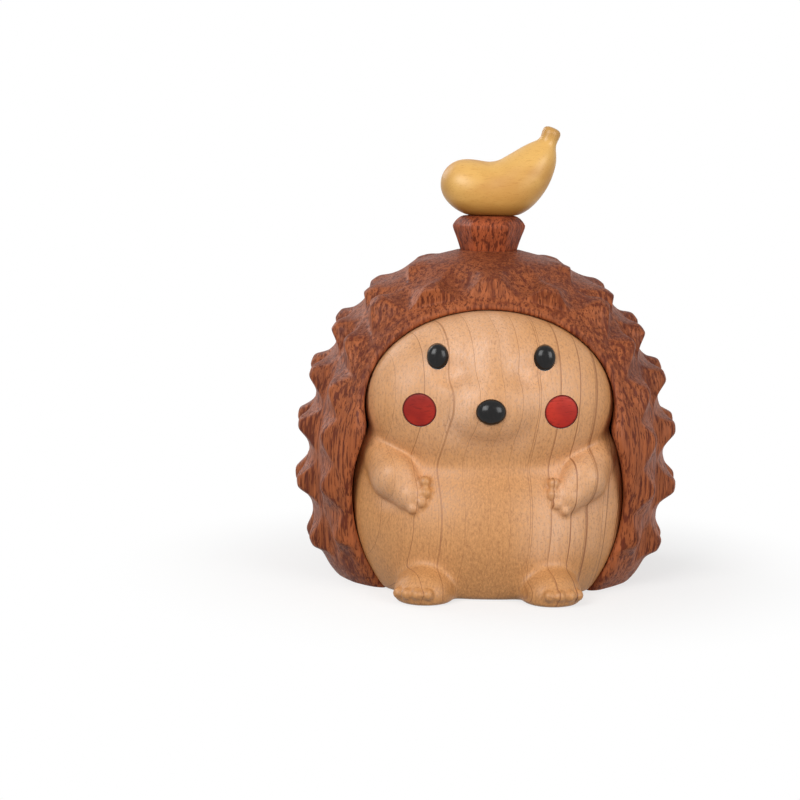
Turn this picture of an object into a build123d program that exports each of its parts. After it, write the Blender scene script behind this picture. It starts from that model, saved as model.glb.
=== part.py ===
from build123d import *
import os
from math import cos, radians, sin, sqrt

# Hedgehog figurine in carved wood. Millimetres, +Z up, the face looks along -Y.

# Husk: the spiny outer shell, a rounded block about its heart
HEART_Y = 1.0
HEART_Z = 22.0
HUSK_HALF_WIDTH = 38.12
HUSK_HALF_DEPTH = 35.5
HUSK_RISE = 42.4
HUSK_DROP = 35.5
HUSK_SQUARENESS = 2.25
SPINE_HEIGHT = 3.0
SPINE_FADE = 0.6
SPINE_FADE_FROM = 0.6
SPINE_FADE_TO = 0.95
SPINE_FADE_SPREAD = 0.5
SPINE_FADE_CORE = 0.2
FOOT_FADE = 0.5
FOOT_FADE_FROM = 0.3
FOOT_FADE_TO = 0.55
COLUMN_ANGLES = (0, 19.8, 33.9, 47.2, 61.6, 77.2, 95, 113.8, 130.5, 147, 163.5, 180)
FRONT_COLUMN_ANGLES = (0, 18, 34, 47.2, 61.6, 77.2, 95, 113.8, 130.5, 147, 163.5, 180)
FRONT_ROW_ANGLES = (60.5, 58.4, 67, 63, 60, 59, 59, 59, 59, 59, 59, 59)
FRONT_SHARES = (1, 1, 1, 0.85, 0.7, 0.6, 0.6, 0.6, 0.6, 0.6, 0.6, 0.6)
FRONT_BAND = 0.3
ROW_ANGLES = (59, 76, 93, 110, 127)
SPARSE_ROW_ANGLE = 144.0
SPARSE_SPINES = 16
BACK_ROW_ANGLE = 162.0
BACK_SPINES = 9
RIM_ANGLE = 46.0
ROW_LEAN = 5.0
LEAN_ENDS = 40.0
ROW_STAGGER = 2.2
STAGGER_FULL = 18.0
STAGGER_ENDS = 85.0
STEP_AT_TOP = 0.8
STEP_FROM = 0.45
STEP_TO = 0.8
BARE_NEAR_FLOOR = 5.0
BARE_NEAR_STALK = 9.0
CROWN_Z = 64.0
CROWN_RADIUS = 6.2
CROWN_SHOULDER_RADIUS = 13.0
CROWN_SHOULDER_Z = 62.2
CROWN_FOOT_RADIUS = 18.0
CROWN_FOOT_Z = 57.5

# Body: head, torso and belly in one block, set in a pocket of the husk
FACE_PLANE_Y = -19.0
POCKET_FLOOR_Y = 6.0
POCKET_GAP = 0.1
HEAD_Z = 36.0
HEAD_HALF_WIDTH = 23.6
HEAD_HALF_HEIGHT = 17.8
HEAD_BULGE = 10.5
TORSO_Z = 18.5
TORSO_HALF_WIDTH = 25.8
TORSO_HALF_HEIGHT = 27.6
TORSO_BULGE = 7.5
BELLY_Z = 11.0
BELLY_HALF_WIDTH = 22.5
BELLY_HALF_HEIGHT = 18.0
BELLY_BULGE = 13.0
SNOUT_Z = 36.5
SNOUT_HALF_WIDTH = 7.5
SNOUT_HALF_HEIGHT = 6.2
SNOUT_RISE = 2.2
SNOUT_ROOT = 2.0
SHOULDER = (19.8, -22.4, 27.0)
PAW = (15.2, -26.2, 19.8)
ARM_THICKNESS = 9.0
ARM_OVERHANG = 2.6
FOOT_X = 12.0
FOOT_HALF_WIDTH = 5.9
FOOT_HALF_LENGTH = 7.5
FOOT_HEIGHT = 7.0
FOOT_FRONT_Y = -36.5

# Inlays: beads for eyes and nose, flush round plugs for the cheeks
INLAY_FIT = 0.05
INLAY_DEPTH = 5.0
EYE_X = 10.0
EYE_Z = 45.8
EYE_WIDTH = 4.0
EYE_HEIGHT = 4.7
EYE_DOME = 1.2
NOSE_Z = 36.1
NOSE_WIDTH = 5.5
NOSE_HEIGHT = 4.8
NOSE_DOME = 1.6
CHEEK_X = 13.3
CHEEK_Z = 35.8
CHEEK_DIAMETER = 6.3
CHEEK_PROUD = 0.15

# Dowels that key the body to the husk
DOWEL_DIAMETER = 5.0
DOWEL_LENGTH = 14.0
DOWEL_FIT = 0.05
DOWEL_UPPER_Z = 40.0
DOWEL_LOWER_Z = 16.0

# Stalk: six-sided, flared, with a round tenon in the crown
STALK_FOOT_RADIUS = 5.6
STALK_RIM_RADIUS = 7.3
STALK_TOP_RADIUS = 5.7
STALK_RIM_HEIGHT = 4.9
STALK_HEIGHT = 6.8
TENON_DIAMETER = 6.4
TENON_LENGTH = 7.0
TENON_FIT = 0.05

# Banana: swept along a bent middle line, flat where it sits, loose on a peg
BANANA_MIDDLE = ((-9.1, 6.9), (-8.4, 6.8), (-5.2, 6.0), (0.0, 5.1), (5.4, 6.2), (9.2, 10.2), (10.5, 12.8),
                 (11.3, 14.6), (12.3, 17.75))
BANANA_THICKNESS = (3.0, 6.4, 11.0, 11.6, 11.6, 9.2, 5.4, 3.3, 3.6)
PEG_DIAMETER = 3.0
PEG_IN_STALK = 6.0
PEG_IN_BANANA = 6.0
PEG_FIT = 0.05
PEG_END_ROOM = 0.2

STALK_TOP_Z = CROWN_Z + STALK_HEIGHT


def husk_reach(across, along, up, depth):
    """Distance from the heart to a surface below the spine tips, shallower round the stalk and the foot."""
    near_top = (up - SPINE_FADE_FROM) / (SPINE_FADE_TO - SPINE_FADE_FROM)
    near_middle = (SPINE_FADE_SPREAD - abs(along)) / (SPINE_FADE_SPREAD - SPINE_FADE_CORE)
    fade = min(max(near_top, 0), 1) * min(max(near_middle, 0), 1)
    near_foot = (-up - FOOT_FADE_FROM) / (FOOT_FADE_TO - FOOT_FADE_FROM)
    depth = depth * (1 - SPINE_FADE * fade) * (1 - FOOT_FADE * min(max(near_foot, 0), 1))
    vertical = HUSK_RISE if up > 0 else HUSK_DROP
    power = HUSK_SQUARENESS
    total = (abs(across) / (HUSK_HALF_WIDTH - depth)) ** power
    total += (abs(along) / (HUSK_HALF_DEPTH - depth)) ** power
    total += (abs(up) / (vertical - depth)) ** power
    return total ** (-1 / power)


def husk_point(row_angle, column_angle, depth):
    """Point on the husk, the given depth below the surface that the spine tips touch."""
    lean = ROW_LEAN * min((180 - row_angle) / LEAN_ENDS, 1)
    lean_angle = row_angle + lean * cos(radians(column_angle))
    across = sin(radians(lean_angle)) * sin(radians(column_angle))
    along = -cos(radians(lean_angle))
    up = sin(radians(lean_angle)) * cos(radians(column_angle))
    reach = husk_reach(across, along, up, depth)
    return Vector(reach * across, HEART_Y + reach * along, HEART_Z + reach * up)


def spine_tip(row_angle, column_angle, share):
    """Tip of one spine, or the bare surface near the floor and round the stalk."""
    tip = husk_point(row_angle, column_angle, SPINE_HEIGHT * (1 - share))
    from_stalk = sqrt(tip.X ** 2 + (tip.Y - HEART_Y) ** 2)
    if tip.Z < BARE_NEAR_FLOOR:
        return husk_point(row_angle, column_angle, SPINE_HEIGHT)
    if from_stalk < BARE_NEAR_STALK and tip.Z > HEART_Z:
        return husk_point(row_angle, column_angle, SPINE_HEIGHT)
    return tip


def triangle(a, b, c):
    return Face(Wire.make_polygon([a, b, c], close=True))


def staggered(row, angle):
    """Column angle in one row, turned a little against the rows beside it."""
    from_top = min(angle, 360 - angle)
    turn = ROW_STAGGER * min(from_top / STAGGER_FULL, 1) * max(1 - from_top / STAGGER_ENDS, 0)
    if angle > 180:
        turn = -turn
    if row % 2 == 0:
        return angle + turn
    return angle - turn


def both_sides(angles):
    """Angles right round, from those of one side."""
    return list(angles) + [360 - angle for angle in reversed(angles[1:-1])]


def even_ring(count):
    return [360 * number / count for number in range(count)]


def cells_between(row, near, far):
    """Cells between two rings of spines: four-sided where they match, else cut along the shorter diagonal."""
    cells = []
    if len(near) == len(far):
        for one in range(len(near)):
            after = (one + 1) % len(near)
            cells.append([(row, one), (row, after), (row + 1, after), (row + 1, one)])
        return cells
    near_ends = list(near) + [360]
    far_ends = list(far) + [360]
    far_steps = len(far)
    if far_steps == 1:
        far_steps = 0
    one = 0
    other = 0
    while one < len(near) or other < far_steps:
        here = (row, one % len(near))
        there = (row + 1, other % len(far))
        step_near = one < len(near)
        if step_near and other < far_steps:
            ahead = abs(near_ends[one + 1] - far_ends[other])
            step_near = ahead <= abs(far_ends[other + 1] - near_ends[one])
        if step_near:
            one += 1
            cells.append([here, (row, one % len(near)), there])
        else:
            other += 1
            cells.append([here, (row + 1, other % len(far)), there])
    return cells


def spiny_block():
    """Closed block of pyramids: each spine falls to the valley points between it and its neighbours."""
    columns = both_sides(COLUMN_ANGLES)
    rings = [(RIM_ANGLE, columns)]
    for row_angle in ROW_ANGLES:
        rings.append((row_angle, columns))
    rings[1] = (ROW_ANGLES[0], both_sides(FRONT_COLUMN_ANGLES))
    rings.append((SPARSE_ROW_ANGLE, even_ring(SPARSE_SPINES)))
    rings.append((BACK_ROW_ANGLE, even_ring(BACK_SPINES)))
    rings.append((180, [0]))
    place = {}
    for row, (row_angle, turns) in enumerate(rings):
        for column, angle in enumerate(turns):
            one_side = min(column, len(turns) - column)
            if row == 0:
                place[row, column] = husk_point(row_angle, angle, SPINE_HEIGHT * (1 - FRONT_BAND))
            elif row == 1:
                place[row, column] = spine_tip(FRONT_ROW_ANGLES[one_side], angle, FRONT_SHARES[one_side])
            else:
                place[row, column] = spine_tip(row_angle, staggered(row, angle), 1)
    cells = []
    for row in range(len(rings) - 1):
        cells += cells_between(row, rings[row][1], rings[row + 1][1])

    valleys = []
    beside = {}
    for number, cell in enumerate(cells):
        centre = Vector(0, 0, 0)
        for index, corner in enumerate(cell):
            centre += place[corner] / len(cell)
            edge = frozenset((corner, cell[index - 1]))
            beside.setdefault(edge, []).append(number)
        heart = Vector(0, HEART_Y, HEART_Z)
        upper = [place[corner] for corner in cell if place[corner].Z > centre.Z]
        near_top = ((centre - heart).normalized().Z - STEP_FROM) / (STEP_TO - STEP_FROM)
        step = STEP_AT_TOP * min(max(near_top, 0), 1) / len(upper)
        weight = 1
        for corner in upper:
            centre += corner * step
            weight += step
        away = (centre / weight - heart).normalized()
        depth = SPINE_HEIGHT
        if cell[0][0] == 0:
            depth = SPINE_HEIGHT * (1 - FRONT_BAND)
        reach = husk_reach(away.X, away.Y, away.Z, depth)
        valleys.append(heart + away * reach)

    faces = []
    front = husk_point(0, 90, SPINE_HEIGHT * (1 - FRONT_BAND))
    for edge, numbers in beside.items():
        one, other = sorted(edge)
        if len(numbers) == 2:
            first, second = valleys[numbers[0]], valleys[numbers[1]]
            faces.append(triangle(place[one], first, second))
            faces.append(triangle(place[other], first, second))
        else:
            faces.append(triangle(place[one], place[other], valleys[numbers[0]]))
            faces.append(triangle(place[one], place[other], front))
    return Solid(Shell(faces))


def bullet(half_width, half_height, dome, front, back, x, z):
    """Elliptical plug along Y from back to front, closed at the front by a dome."""
    sides = Polyline((1, front), (1, back), (0, back), (0, front - dome))
    nose = EllipticalCenterArc((0, front), 1, dome, start_angle=-90, arc_size=90)
    profile = make_face(sides + nose)
    turned = revolve(profile, Axis.Y, 360)
    return Pos(x, 0, z) * scale(turned, by=(half_width, 1, half_height))


def elliptic_bar(half_width, half_height, front, back, x, z):
    """Elliptical bar along Y."""
    end = Plane(origin=(x, back, z), x_dir=(1, 0, 0), z_dir=(0, -1, 0))
    return extrude(end * Ellipse(half_width, half_height), back - front)


def ellipsoid(half_x, half_y, half_z):
    return scale(Sphere(1), by=(half_x, half_y, half_z))


def head_surface_y(x, z):
    """Depth of the face at a spot on it."""
    spread = (x / HEAD_HALF_WIDTH) ** 2 + ((z - HEAD_Z) / HEAD_HALF_HEIGHT) ** 2
    return FACE_PLANE_Y - HEAD_BULGE * sqrt(1 - spread)


EYE_Y = head_surface_y(EYE_X, EYE_Z)
CHEEK_Y = head_surface_y(CHEEK_X, CHEEK_Z)
SNOUT_TIP_Y = head_surface_y(0, SNOUT_Z) - SNOUT_RISE
NOSE_Y = SNOUT_TIP_Y + 0.3
DOWEL_FRONT_Y = POCKET_FLOOR_Y - DOWEL_LENGTH / 2
DOWEL_BACK_Y = POCKET_FLOOR_Y + DOWEL_LENGTH / 2
FAR_FRONT_Y = FOOT_FRONT_Y - 20
BIG = 4 * (HUSK_HALF_WIDTH + HUSK_DROP)
BELOW_FLOOR = Pos(0, 0, -BIG / 2) * Box(BIG, BIG, BIG)


def dowel_bar(height, extra):
    radius = DOWEL_DIAMETER / 2 + extra
    return elliptic_bar(radius, radius, DOWEL_FRONT_Y - extra, DOWEL_BACK_Y + extra, 0, height)


def make_shell():
    husk = spiny_block()
    crown_height = CROWN_Z - CROWN_SHOULDER_Z
    foot_height = CROWN_SHOULDER_Z - CROWN_FOOT_Z
    crown = Cone(CROWN_SHOULDER_RADIUS, CROWN_RADIUS, crown_height)
    crown_foot = Cone(CROWN_FOOT_RADIUS, CROWN_SHOULDER_RADIUS, foot_height)
    husk = husk + Pos(0, HEART_Y, CROWN_FOOT_Z + foot_height / 2) * crown_foot
    husk = husk + Pos(0, HEART_Y, CROWN_SHOULDER_Z + crown_height / 2) * crown
    husk = husk - BELOW_FLOOR
    head_width = HEAD_HALF_WIDTH + POCKET_GAP
    head_height = HEAD_HALF_HEIGHT + POCKET_GAP
    torso_width = TORSO_HALF_WIDTH + POCKET_GAP
    torso_height = TORSO_HALF_HEIGHT + POCKET_GAP
    husk = husk - elliptic_bar(head_width, head_height, FAR_FRONT_Y, POCKET_FLOOR_Y, 0, HEAD_Z)
    husk = husk - elliptic_bar(torso_width, torso_height, FAR_FRONT_Y, POCKET_FLOOR_Y, 0, TORSO_Z)
    husk = husk - dowel_bar(DOWEL_UPPER_Z, DOWEL_FIT) - dowel_bar(DOWEL_LOWER_Z, DOWEL_FIT)
    mortise = Cylinder(TENON_DIAMETER / 2 + TENON_FIT, 2 * (TENON_LENGTH + TENON_FIT))
    return husk - Pos(0, HEART_Y, CROWN_Z) * mortise


def make_arm(side):
    shoulder = Vector(side * SHOULDER[0], SHOULDER[1], SHOULDER[2])
    paw = Vector(side * PAW[0], PAW[1], PAW[2])
    reach = (paw - shoulder).length / 2 + ARM_OVERHANG
    line = Plane(origin=(shoulder + paw) / 2, z_dir=paw - shoulder)
    return line * ellipsoid(ARM_THICKNESS / 2, ARM_THICKNESS / 2, reach)


def make_body():
    body = bullet(HEAD_HALF_WIDTH, HEAD_HALF_HEIGHT, HEAD_BULGE, FACE_PLANE_Y, POCKET_FLOOR_Y, 0, HEAD_Z)
    torso = bullet(TORSO_HALF_WIDTH, TORSO_HALF_HEIGHT, TORSO_BULGE, FACE_PLANE_Y, POCKET_FLOOR_Y, 0, TORSO_Z)
    belly = Pos(0, FACE_PLANE_Y, BELLY_Z) * ellipsoid(BELLY_HALF_WIDTH, BELLY_BULGE, BELLY_HALF_HEIGHT)
    snout = ellipsoid(SNOUT_HALF_WIDTH, SNOUT_RISE + SNOUT_ROOT, SNOUT_HALF_HEIGHT)
    body = body + torso + belly
    body = body + Pos(0, SNOUT_TIP_Y + SNOUT_RISE + SNOUT_ROOT, SNOUT_Z) * snout
    foot_half_height = FOOT_HEIGHT * 0.68
    for side in (-1, 1):
        body = body + make_arm(side)
        foot = ellipsoid(FOOT_HALF_WIDTH, FOOT_HALF_LENGTH, foot_half_height)
        spot = Pos(side * FOOT_X, FOOT_FRONT_Y + FOOT_HALF_LENGTH, FOOT_HEIGHT - foot_half_height)
        body = body + spot * foot
    body = body - BELOW_FLOOR
    body = body - dowel_bar(DOWEL_UPPER_Z, DOWEL_FIT) - dowel_bar(DOWEL_LOWER_Z, DOWEL_FIT)
    for side in (-1, 1):
        body = body - inlay_hole(side * EYE_X, EYE_Z, EYE_WIDTH, EYE_HEIGHT, EYE_Y)
        body = body - inlay_hole(side * CHEEK_X, CHEEK_Z, CHEEK_DIAMETER, CHEEK_DIAMETER, CHEEK_Y)
    return body - inlay_hole(0, NOSE_Z, NOSE_WIDTH, NOSE_HEIGHT, NOSE_Y)


def inlay_hole(x, z, width, height, surface_y):
    half_width = width / 2 + INLAY_FIT
    half_height = height / 2 + INLAY_FIT
    return elliptic_bar(half_width, half_height, FAR_FRONT_Y, surface_y + INLAY_DEPTH, x, z)


def make_bead(x, z, width, height, dome, surface_y):
    return bullet(width / 2, height / 2, dome, surface_y, surface_y + INLAY_DEPTH, x, z)


def make_cheek(side):
    radius = CHEEK_DIAMETER / 2
    plug = elliptic_bar(radius, radius, FAR_FRONT_Y, CHEEK_Y + INLAY_DEPTH, side * CHEEK_X, CHEEK_Z)
    proud_width = HEAD_HALF_WIDTH + CHEEK_PROUD
    proud_height = HEAD_HALF_HEIGHT + CHEEK_PROUD
    proud_bulge = HEAD_BULGE + CHEEK_PROUD
    face = bullet(proud_width, proud_height, proud_bulge, FACE_PLANE_Y, POCKET_FLOOR_Y, 0, HEAD_Z)
    return plug & face


def make_stalk():
    heights = (0, STALK_RIM_HEIGHT, STALK_HEIGHT)
    radii = (STALK_FOOT_RADIUS, STALK_RIM_RADIUS, STALK_TOP_RADIUS)
    rings = []
    for height, radius in zip(heights, radii):
        rings.append(Pos(0, HEART_Y, CROWN_Z + height) * RegularPolygon(radius, 6))
    stalk = loft(rings, ruled=True)
    tenon = Cylinder(TENON_DIAMETER / 2, TENON_LENGTH, align=(Align.CENTER, Align.CENTER, Align.MAX))
    stalk = stalk + Pos(0, HEART_Y, CROWN_Z) * tenon
    return stalk - peg_bar(PEG_FIT, PEG_END_ROOM)


def make_banana():
    points = [Vector(x, HEART_Y, STALK_TOP_Z + height) for x, height in BANANA_MIDDLE]
    rings = []
    for index, point in enumerate(points):
        before = points[max(index - 1, 0)]
        after = points[min(index + 1, len(points) - 1)]
        across = Plane(origin=point, x_dir=(0, 1, 0), z_dir=after - before)
        rings.append(across * Circle(BANANA_THICKNESS[index] / 2))
    banana = loft(rings)
    below = Pos(0, 0, STALK_TOP_Z - BIG / 2) * Box(BIG, BIG, BIG)
    return banana - below - peg_bar(PEG_FIT, PEG_END_ROOM)


def peg_bar(extra, end_room):
    length = PEG_IN_STALK + PEG_IN_BANANA + 2 * end_room
    bottom = STALK_TOP_Z - PEG_IN_STALK - end_room
    return Pos(0, HEART_Y, bottom + length / 2) * Cylinder(PEG_DIAMETER / 2 + extra, length)


pieces = {
    "shell": make_shell(),
    "body": make_body(),
    "stalk": make_stalk(),
    "banana": make_banana(),
    "banana_peg": peg_bar(0, 0),
    "eye_left": make_bead(-EYE_X, EYE_Z, EYE_WIDTH, EYE_HEIGHT, EYE_DOME, EYE_Y),
    "eye_right": make_bead(EYE_X, EYE_Z, EYE_WIDTH, EYE_HEIGHT, EYE_DOME, EYE_Y),
    "nose": make_bead(0, NOSE_Z, NOSE_WIDTH, NOSE_HEIGHT, NOSE_DOME, NOSE_Y),
    "cheek_left": make_cheek(-1),
    "cheek_right": make_cheek(1),
    "dowel_upper": dowel_bar(DOWEL_UPPER_Z, 0),
    "dowel_lower": dowel_bar(DOWEL_LOWER_Z, 0),
}

os.makedirs("parts", exist_ok=True)
for name, piece in pieces.items():
    export_step(piece, "parts/" + name + ".step")
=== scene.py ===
from math import cos, pi, radians, sin, sqrt, tau

import bmesh
import bpy
from bpy.props import FloatProperty, FloatVectorProperty, IntProperty, PointerProperty
from mathutils import Matrix, Vector


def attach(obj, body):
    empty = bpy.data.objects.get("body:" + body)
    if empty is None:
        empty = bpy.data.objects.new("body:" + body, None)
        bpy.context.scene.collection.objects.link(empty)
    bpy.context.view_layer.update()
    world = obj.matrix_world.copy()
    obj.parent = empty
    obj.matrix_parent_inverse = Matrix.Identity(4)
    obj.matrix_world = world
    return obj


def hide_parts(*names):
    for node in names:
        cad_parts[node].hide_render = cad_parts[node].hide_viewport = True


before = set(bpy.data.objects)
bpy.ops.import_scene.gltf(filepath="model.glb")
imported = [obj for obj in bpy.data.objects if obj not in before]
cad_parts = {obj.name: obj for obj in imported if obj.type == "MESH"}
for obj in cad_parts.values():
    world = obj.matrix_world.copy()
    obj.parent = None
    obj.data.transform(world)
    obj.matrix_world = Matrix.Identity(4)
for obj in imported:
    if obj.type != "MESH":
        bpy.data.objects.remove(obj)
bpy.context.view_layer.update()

bl_info = {
    "name": "Carved hedgehog figurine",
    "version": (1, 0, 0),
    "blender": (4, 5, 0),
    "location": "3D View > Sidebar > Hedgehog",
    "description": "Carves the wooden hedgehog, its husk, inlays, stalk and banana, and sets the stage",
    "category": "Object",
}

MM = 0.001

# Where the pieces sit, in millimetres, as in the solids
HEART = Vector((0.0, 1.0, 22.0))
FACE_PLANE_Y = -19.0
POCKET_FLOOR_Y = 6.0
POCKET_BLEND = 40
CROWN_Z = 64.0
CROWN_SLOPE = 0.26
STALK_TOP_Z = 70.8
COLUMN_ANGLES = (0, 19.8, 33.9, 47.2, 61.6, 77.2, 95, 113.8, 130.5, 147, 163.5, 180)
FRONT_COLUMN_ANGLES = (0, 18, 34, 47.2, 61.6, 77.2, 95, 113.8, 130.5, 147, 163.5, 180)
FRONT_ROW_ANGLES = (60.5, 58.4, 67, 63, 60, 59, 59, 59, 59, 59, 59, 59)
FRONT_PEAKS = (1, 1, 1, 0.9, 0.8, 0.75, 0.75, 0.75, 0.75, 0.75, 0.75, 0.75)
ROW_ANGLES = (59, 76, 93, 110, 127)
SPARSE_ROW_ANGLE = 144.0
SPARSE_SPINES = 16
BACK_ROW_ANGLE = 162.0
BACK_SPINES = 9
RIM_ANGLE = 46.0
ROW_LEAN = 5.0
LEAN_ENDS = 40.0
ROW_STAGGER = 2.2
STAGGER_ENDS = 85.0
STEP_AT_TOP = 1.6
FOOT_FADE = 0.5
BARE_NEAR_FLOOR = 5.0
BARE_NEAR_STALK = 9.0
HEAD_Z = 36.0
TORSO_Z = 18.5
BELLY_Z = 11.0
EYE_X = 10.0
EYE_Z = 45.8
NOSE_Z = 36.1
CHEEK_X = 13.3
CHEEK_Z = 35.8
DOWEL_HEIGHTS = (40.0, 16.0)
DOWEL_LENGTH = 14.0
INLAY_DEPTH = 5.0
BANANA_LINE = ((-4.95, 6.15, 4.75), (-3.2, 5.45, 5.35), (-0.4, 4.95, 5.4), (3.6, 5.4, 5.65), (6.6, 7.7, 5.1),
               (8.75, 10.2, 4.05), (9.95, 11.9, 2.95), (11.15, 14.2, 1.7), (12.3, 17.2, 2.0))
BANANA_STEM_END = 17.35
BANANA_EASE = 0.5
POCKET_MIDDLE_Z = 27.0
SNOUT_Z = 36.5
SNOUT_REACH = 1.9
SHOULDER = (20.6, -19.4, 26.6)
ELBOW = (17.7, -23.8, 22.6)
WRIST = (14.8, -26.0, 19.6)
KNUCKLES = ((12.1, -27.9, 22.3), (11.9, -28.4, 20.3), (12.7, -28.7, 18.5), (14.3, -28.5, 17.3))
TOES = ((16.7, -32.7, 2.0), (15.2, -34.3, 2.2), (13.3, -35.15, 2.3), (11.3, -35.35, 2.3))
BEAD_STEPS = 56

# The floor, in millimetres
FLOOR_Z = -0.02
FLOOR_RINGS = (60.0, 200.0, 800.0, 4000.0)

# The stage, in metres, degrees and watts
WHITE = (1.0, 1.0, 1.0, 1.0)
CAMERA_PLACE = (-0.014, -0.450, 0.095)
CAMERA_LENS = 102.6
CAMERA_LEAN = 0.7
CAMERA_TURN = 0.40
CAMERA_DIP = 7.73
LIGHTS = (
    ("top_light", (-0.36, -0.54, 0.36), 0.38, 3.6),
    ("side_light", (0.50, -0.50, 0.22), 0.38, 2.7),
    ("back_light", (-0.55, 0.44, 0.42), 0.4, 2.0),
)


def length(description, millimetres):
    """A size property, given in millimetres and kept in metres."""
    return FloatProperty(description=description, default=millimetres * MM, min=0.0, unit="LENGTH",
                         precision=5)


def amount(description, default, low, high):
    """A property without a unit."""
    return FloatProperty(description=description, default=default, min=low, max=high)


def count(description, default, low, high):
    """A whole number property."""
    return IntProperty(description=description, default=default, min=low, max=high)


def colour(description, *screen):
    """A colour property, given as the screen shows it and kept as light."""
    values = []
    for part in screen:
        part = part / 255
        values.append(part / 12.92 if part <= 0.04045 else ((part + 0.055) / 1.055) ** 2.4)
    return FloatVectorProperty(description=description, default=values, min=0.0, max=1.0, size=3,
                               subtype="COLOR")


class HuskSizes(bpy.types.PropertyGroup):
    """Sizes of the spiny husk."""

    half_width: length("From the middle to the spine tips at the side", 38.1)
    half_depth: length("From the heart to the spine tips at the back", 35.5)
    rise: length("From the heart to the top", 42.4)
    drop: length("From the heart to where the husk would close below the floor", 35.5)
    spine_height: length("From the valleys to the spine tips", 3.0)
    opening_roll: length("How far the edge of the opening is rounded over", 2.6)
    foot_set_back: length("How far the front of the husk is set back at the floor", 0.6)
    seam: length("Gap between the husk and the body", 0.14)
    crown_radius: length("Flat top that the stalk stands on", 6.2)
    crown_foot_radius: length("Where the crown runs out into the husk", 18.0)
    squareness: amount("2 is an egg, more is a rounder block", 2.25, 2.0, 4.0)
    top_fade: amount("How much lower the spines are near the stalk", 0.6, 0.0, 0.9)
    front_band: amount("How full the smooth band before the front spines is", 0.58, 0.0, 1.0)
    spine_hollow: amount("1 gives straight flanks, more gives hollow ones", 2.25, 0.5, 3.0)
    softness: count("How often the spines are sanded", 13, 0, 60)
    fineness: count("How often each flank is divided", 4, 1, 4)


class BodySizes(bpy.types.PropertyGroup):
    """Sizes of the pale body."""

    head_half_width: length("From the middle to the side of the head", 23.6)
    head_half_height: length("From the middle to the top of the head", 17.8)
    head_bulge: length("How far the face stands out", 10.5)
    torso_half_width: length("From the middle to the side of the torso", 25.8)
    torso_half_height: length("From the middle to the end of the torso", 27.6)
    torso_bulge: length("How far the chest stands out", 7.5)
    belly_half_width: length("From the middle to the side of the belly", 22.5)
    belly_bulge: length("How far the belly stands out", 13.0)
    arm_thickness: length("Across the upper arm", 9.3)
    paw_thickness: length("Across the paw", 6.9)
    finger_thickness: length("Across one finger", 2.25)
    toe_thickness: length("Across one toe", 2.25)
    fineness: length("Size of the smallest step in the carving", 0.42)


class InlaySizes(bpy.types.PropertyGroup):
    """Sizes of the beads and the round plugs in the face."""

    eye_width: length("Across one eye", 4.0)
    eye_height: length("From the lower to the upper edge of one eye", 4.7)
    eye_dome: length("How far an eye stands out", 1.2)
    nose_width: length("Across the nose", 5.5)
    nose_height: length("From the lower to the upper edge of the nose", 4.8)
    nose_dome: length("How far the nose stands out", 1.6)
    cheek_width: length("Across one round cheek plug", 6.3)


class CrownSizes(bpy.types.PropertyGroup):
    """Sizes of the stalk, the banana and the pins."""

    stalk_foot: length("From the middle to a corner at the foot", 5.65)
    stalk_rim: length("From the middle to a corner at the widest", 7.22)
    stalk_top: length("From the middle to a corner at the top", 4.75)
    stalk_rim_height: length("From the crown to the widest", 4.8)
    stalk_corner: length("Radius of the stalk's upright edges", 0.4)
    tenon_width: length("Across the round tenon", 6.4)
    tenon_length: length("How deep the tenon goes", 7.0)
    peg_width: length("Across the peg in the banana", 3.0)
    peg_length: length("From end to end of the peg", 12.0)
    dowel_width: length("Across a dowel", 5.0)
    pin_groove: length("Depth of the glue grooves along the pins", 0.18)
    banana_fineness: length("Size of the smallest step in the banana", 0.2)
    fit: length("Play round the pins and the tenon", 0.05)


class Colours(bpy.types.PropertyGroup):
    """Colours of the woods."""

    husk: colour("Main colour of the husk", 149, 82, 47)
    husk_dark: colour("Pores and dark ribbons of the husk", 98, 42, 24)
    stalk: colour("Main colour of the stalk", 152, 76, 43)
    body: colour("Main colour of the body", 195, 139, 86)
    # Paler face: partly the wood's own tone and partly painted sheen; it also carries the painted highlights
    # on the arms and belly.
    body_pale_and_sheen: colour("Paler wood of the face", 233, 187, 153)
    # Warmer patches of the body; its darker copies are the painted shade under the chin and between the feet.
    body_warm_and_shade: colour("Warmer patches of the body", 198, 140, 83)
    body_line: colour("Growth lines of the body", 138, 86, 48)
    banana: colour("Main colour of the banana", 225, 175, 95)
    # Pores and grain of the banana; a darker copy is the painted shadow along its underside.
    banana_dark_and_shade: colour("Pores and shaded grain of the banana", 186, 124, 48)
    bead: colour("Eyes and nose", 12, 11, 11)
    cheek: colour("Round cheek plugs", 166, 36, 25)
    cheek_dark: colour("Streaks and glue edge of the cheek plugs", 84, 16, 13)
    pin: colour("Peg and dowels", 206, 166, 118)
    floor: colour("Studio floor", 250, 249, 248)


def sign(operation, swapped=False):
    """A method that joins a value to another one with a math node."""

    def act(self, other):
        pair = (other, self) if swapped else (self, other)
        return self.tree.math(operation, *pair)

    return act


class Value:
    """One output in a tree, so that a formula is written with plain signs."""

    def __init__(self, tree, socket):
        self.tree = tree
        self.socket = socket

    def __abs__(self):
        return self.tree.math("ABSOLUTE", self)

    def joined(self, other, ease):
        """This form and another one run together."""
        return self.tree.math("SMOOTH_MIN", self, other, ease)

    def cut(self, other, ease):
        """What this form has in common with another one, with an eased edge."""
        return self.tree.math("SMOOTH_MAX", self, other, ease)

    __add__ = __radd__ = sign("ADD")
    __mul__ = __rmul__ = sign("MULTIPLY")
    __sub__ = sign("SUBTRACT")
    __rsub__ = sign("SUBTRACT", swapped=True)
    __truediv__ = sign("DIVIDE")
    __rtruediv__ = sign("DIVIDE", swapped=True)
    __pow__ = sign("POWER")
    at_least = sign("MAXIMUM")
    at_most = sign("MINIMUM")


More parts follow.
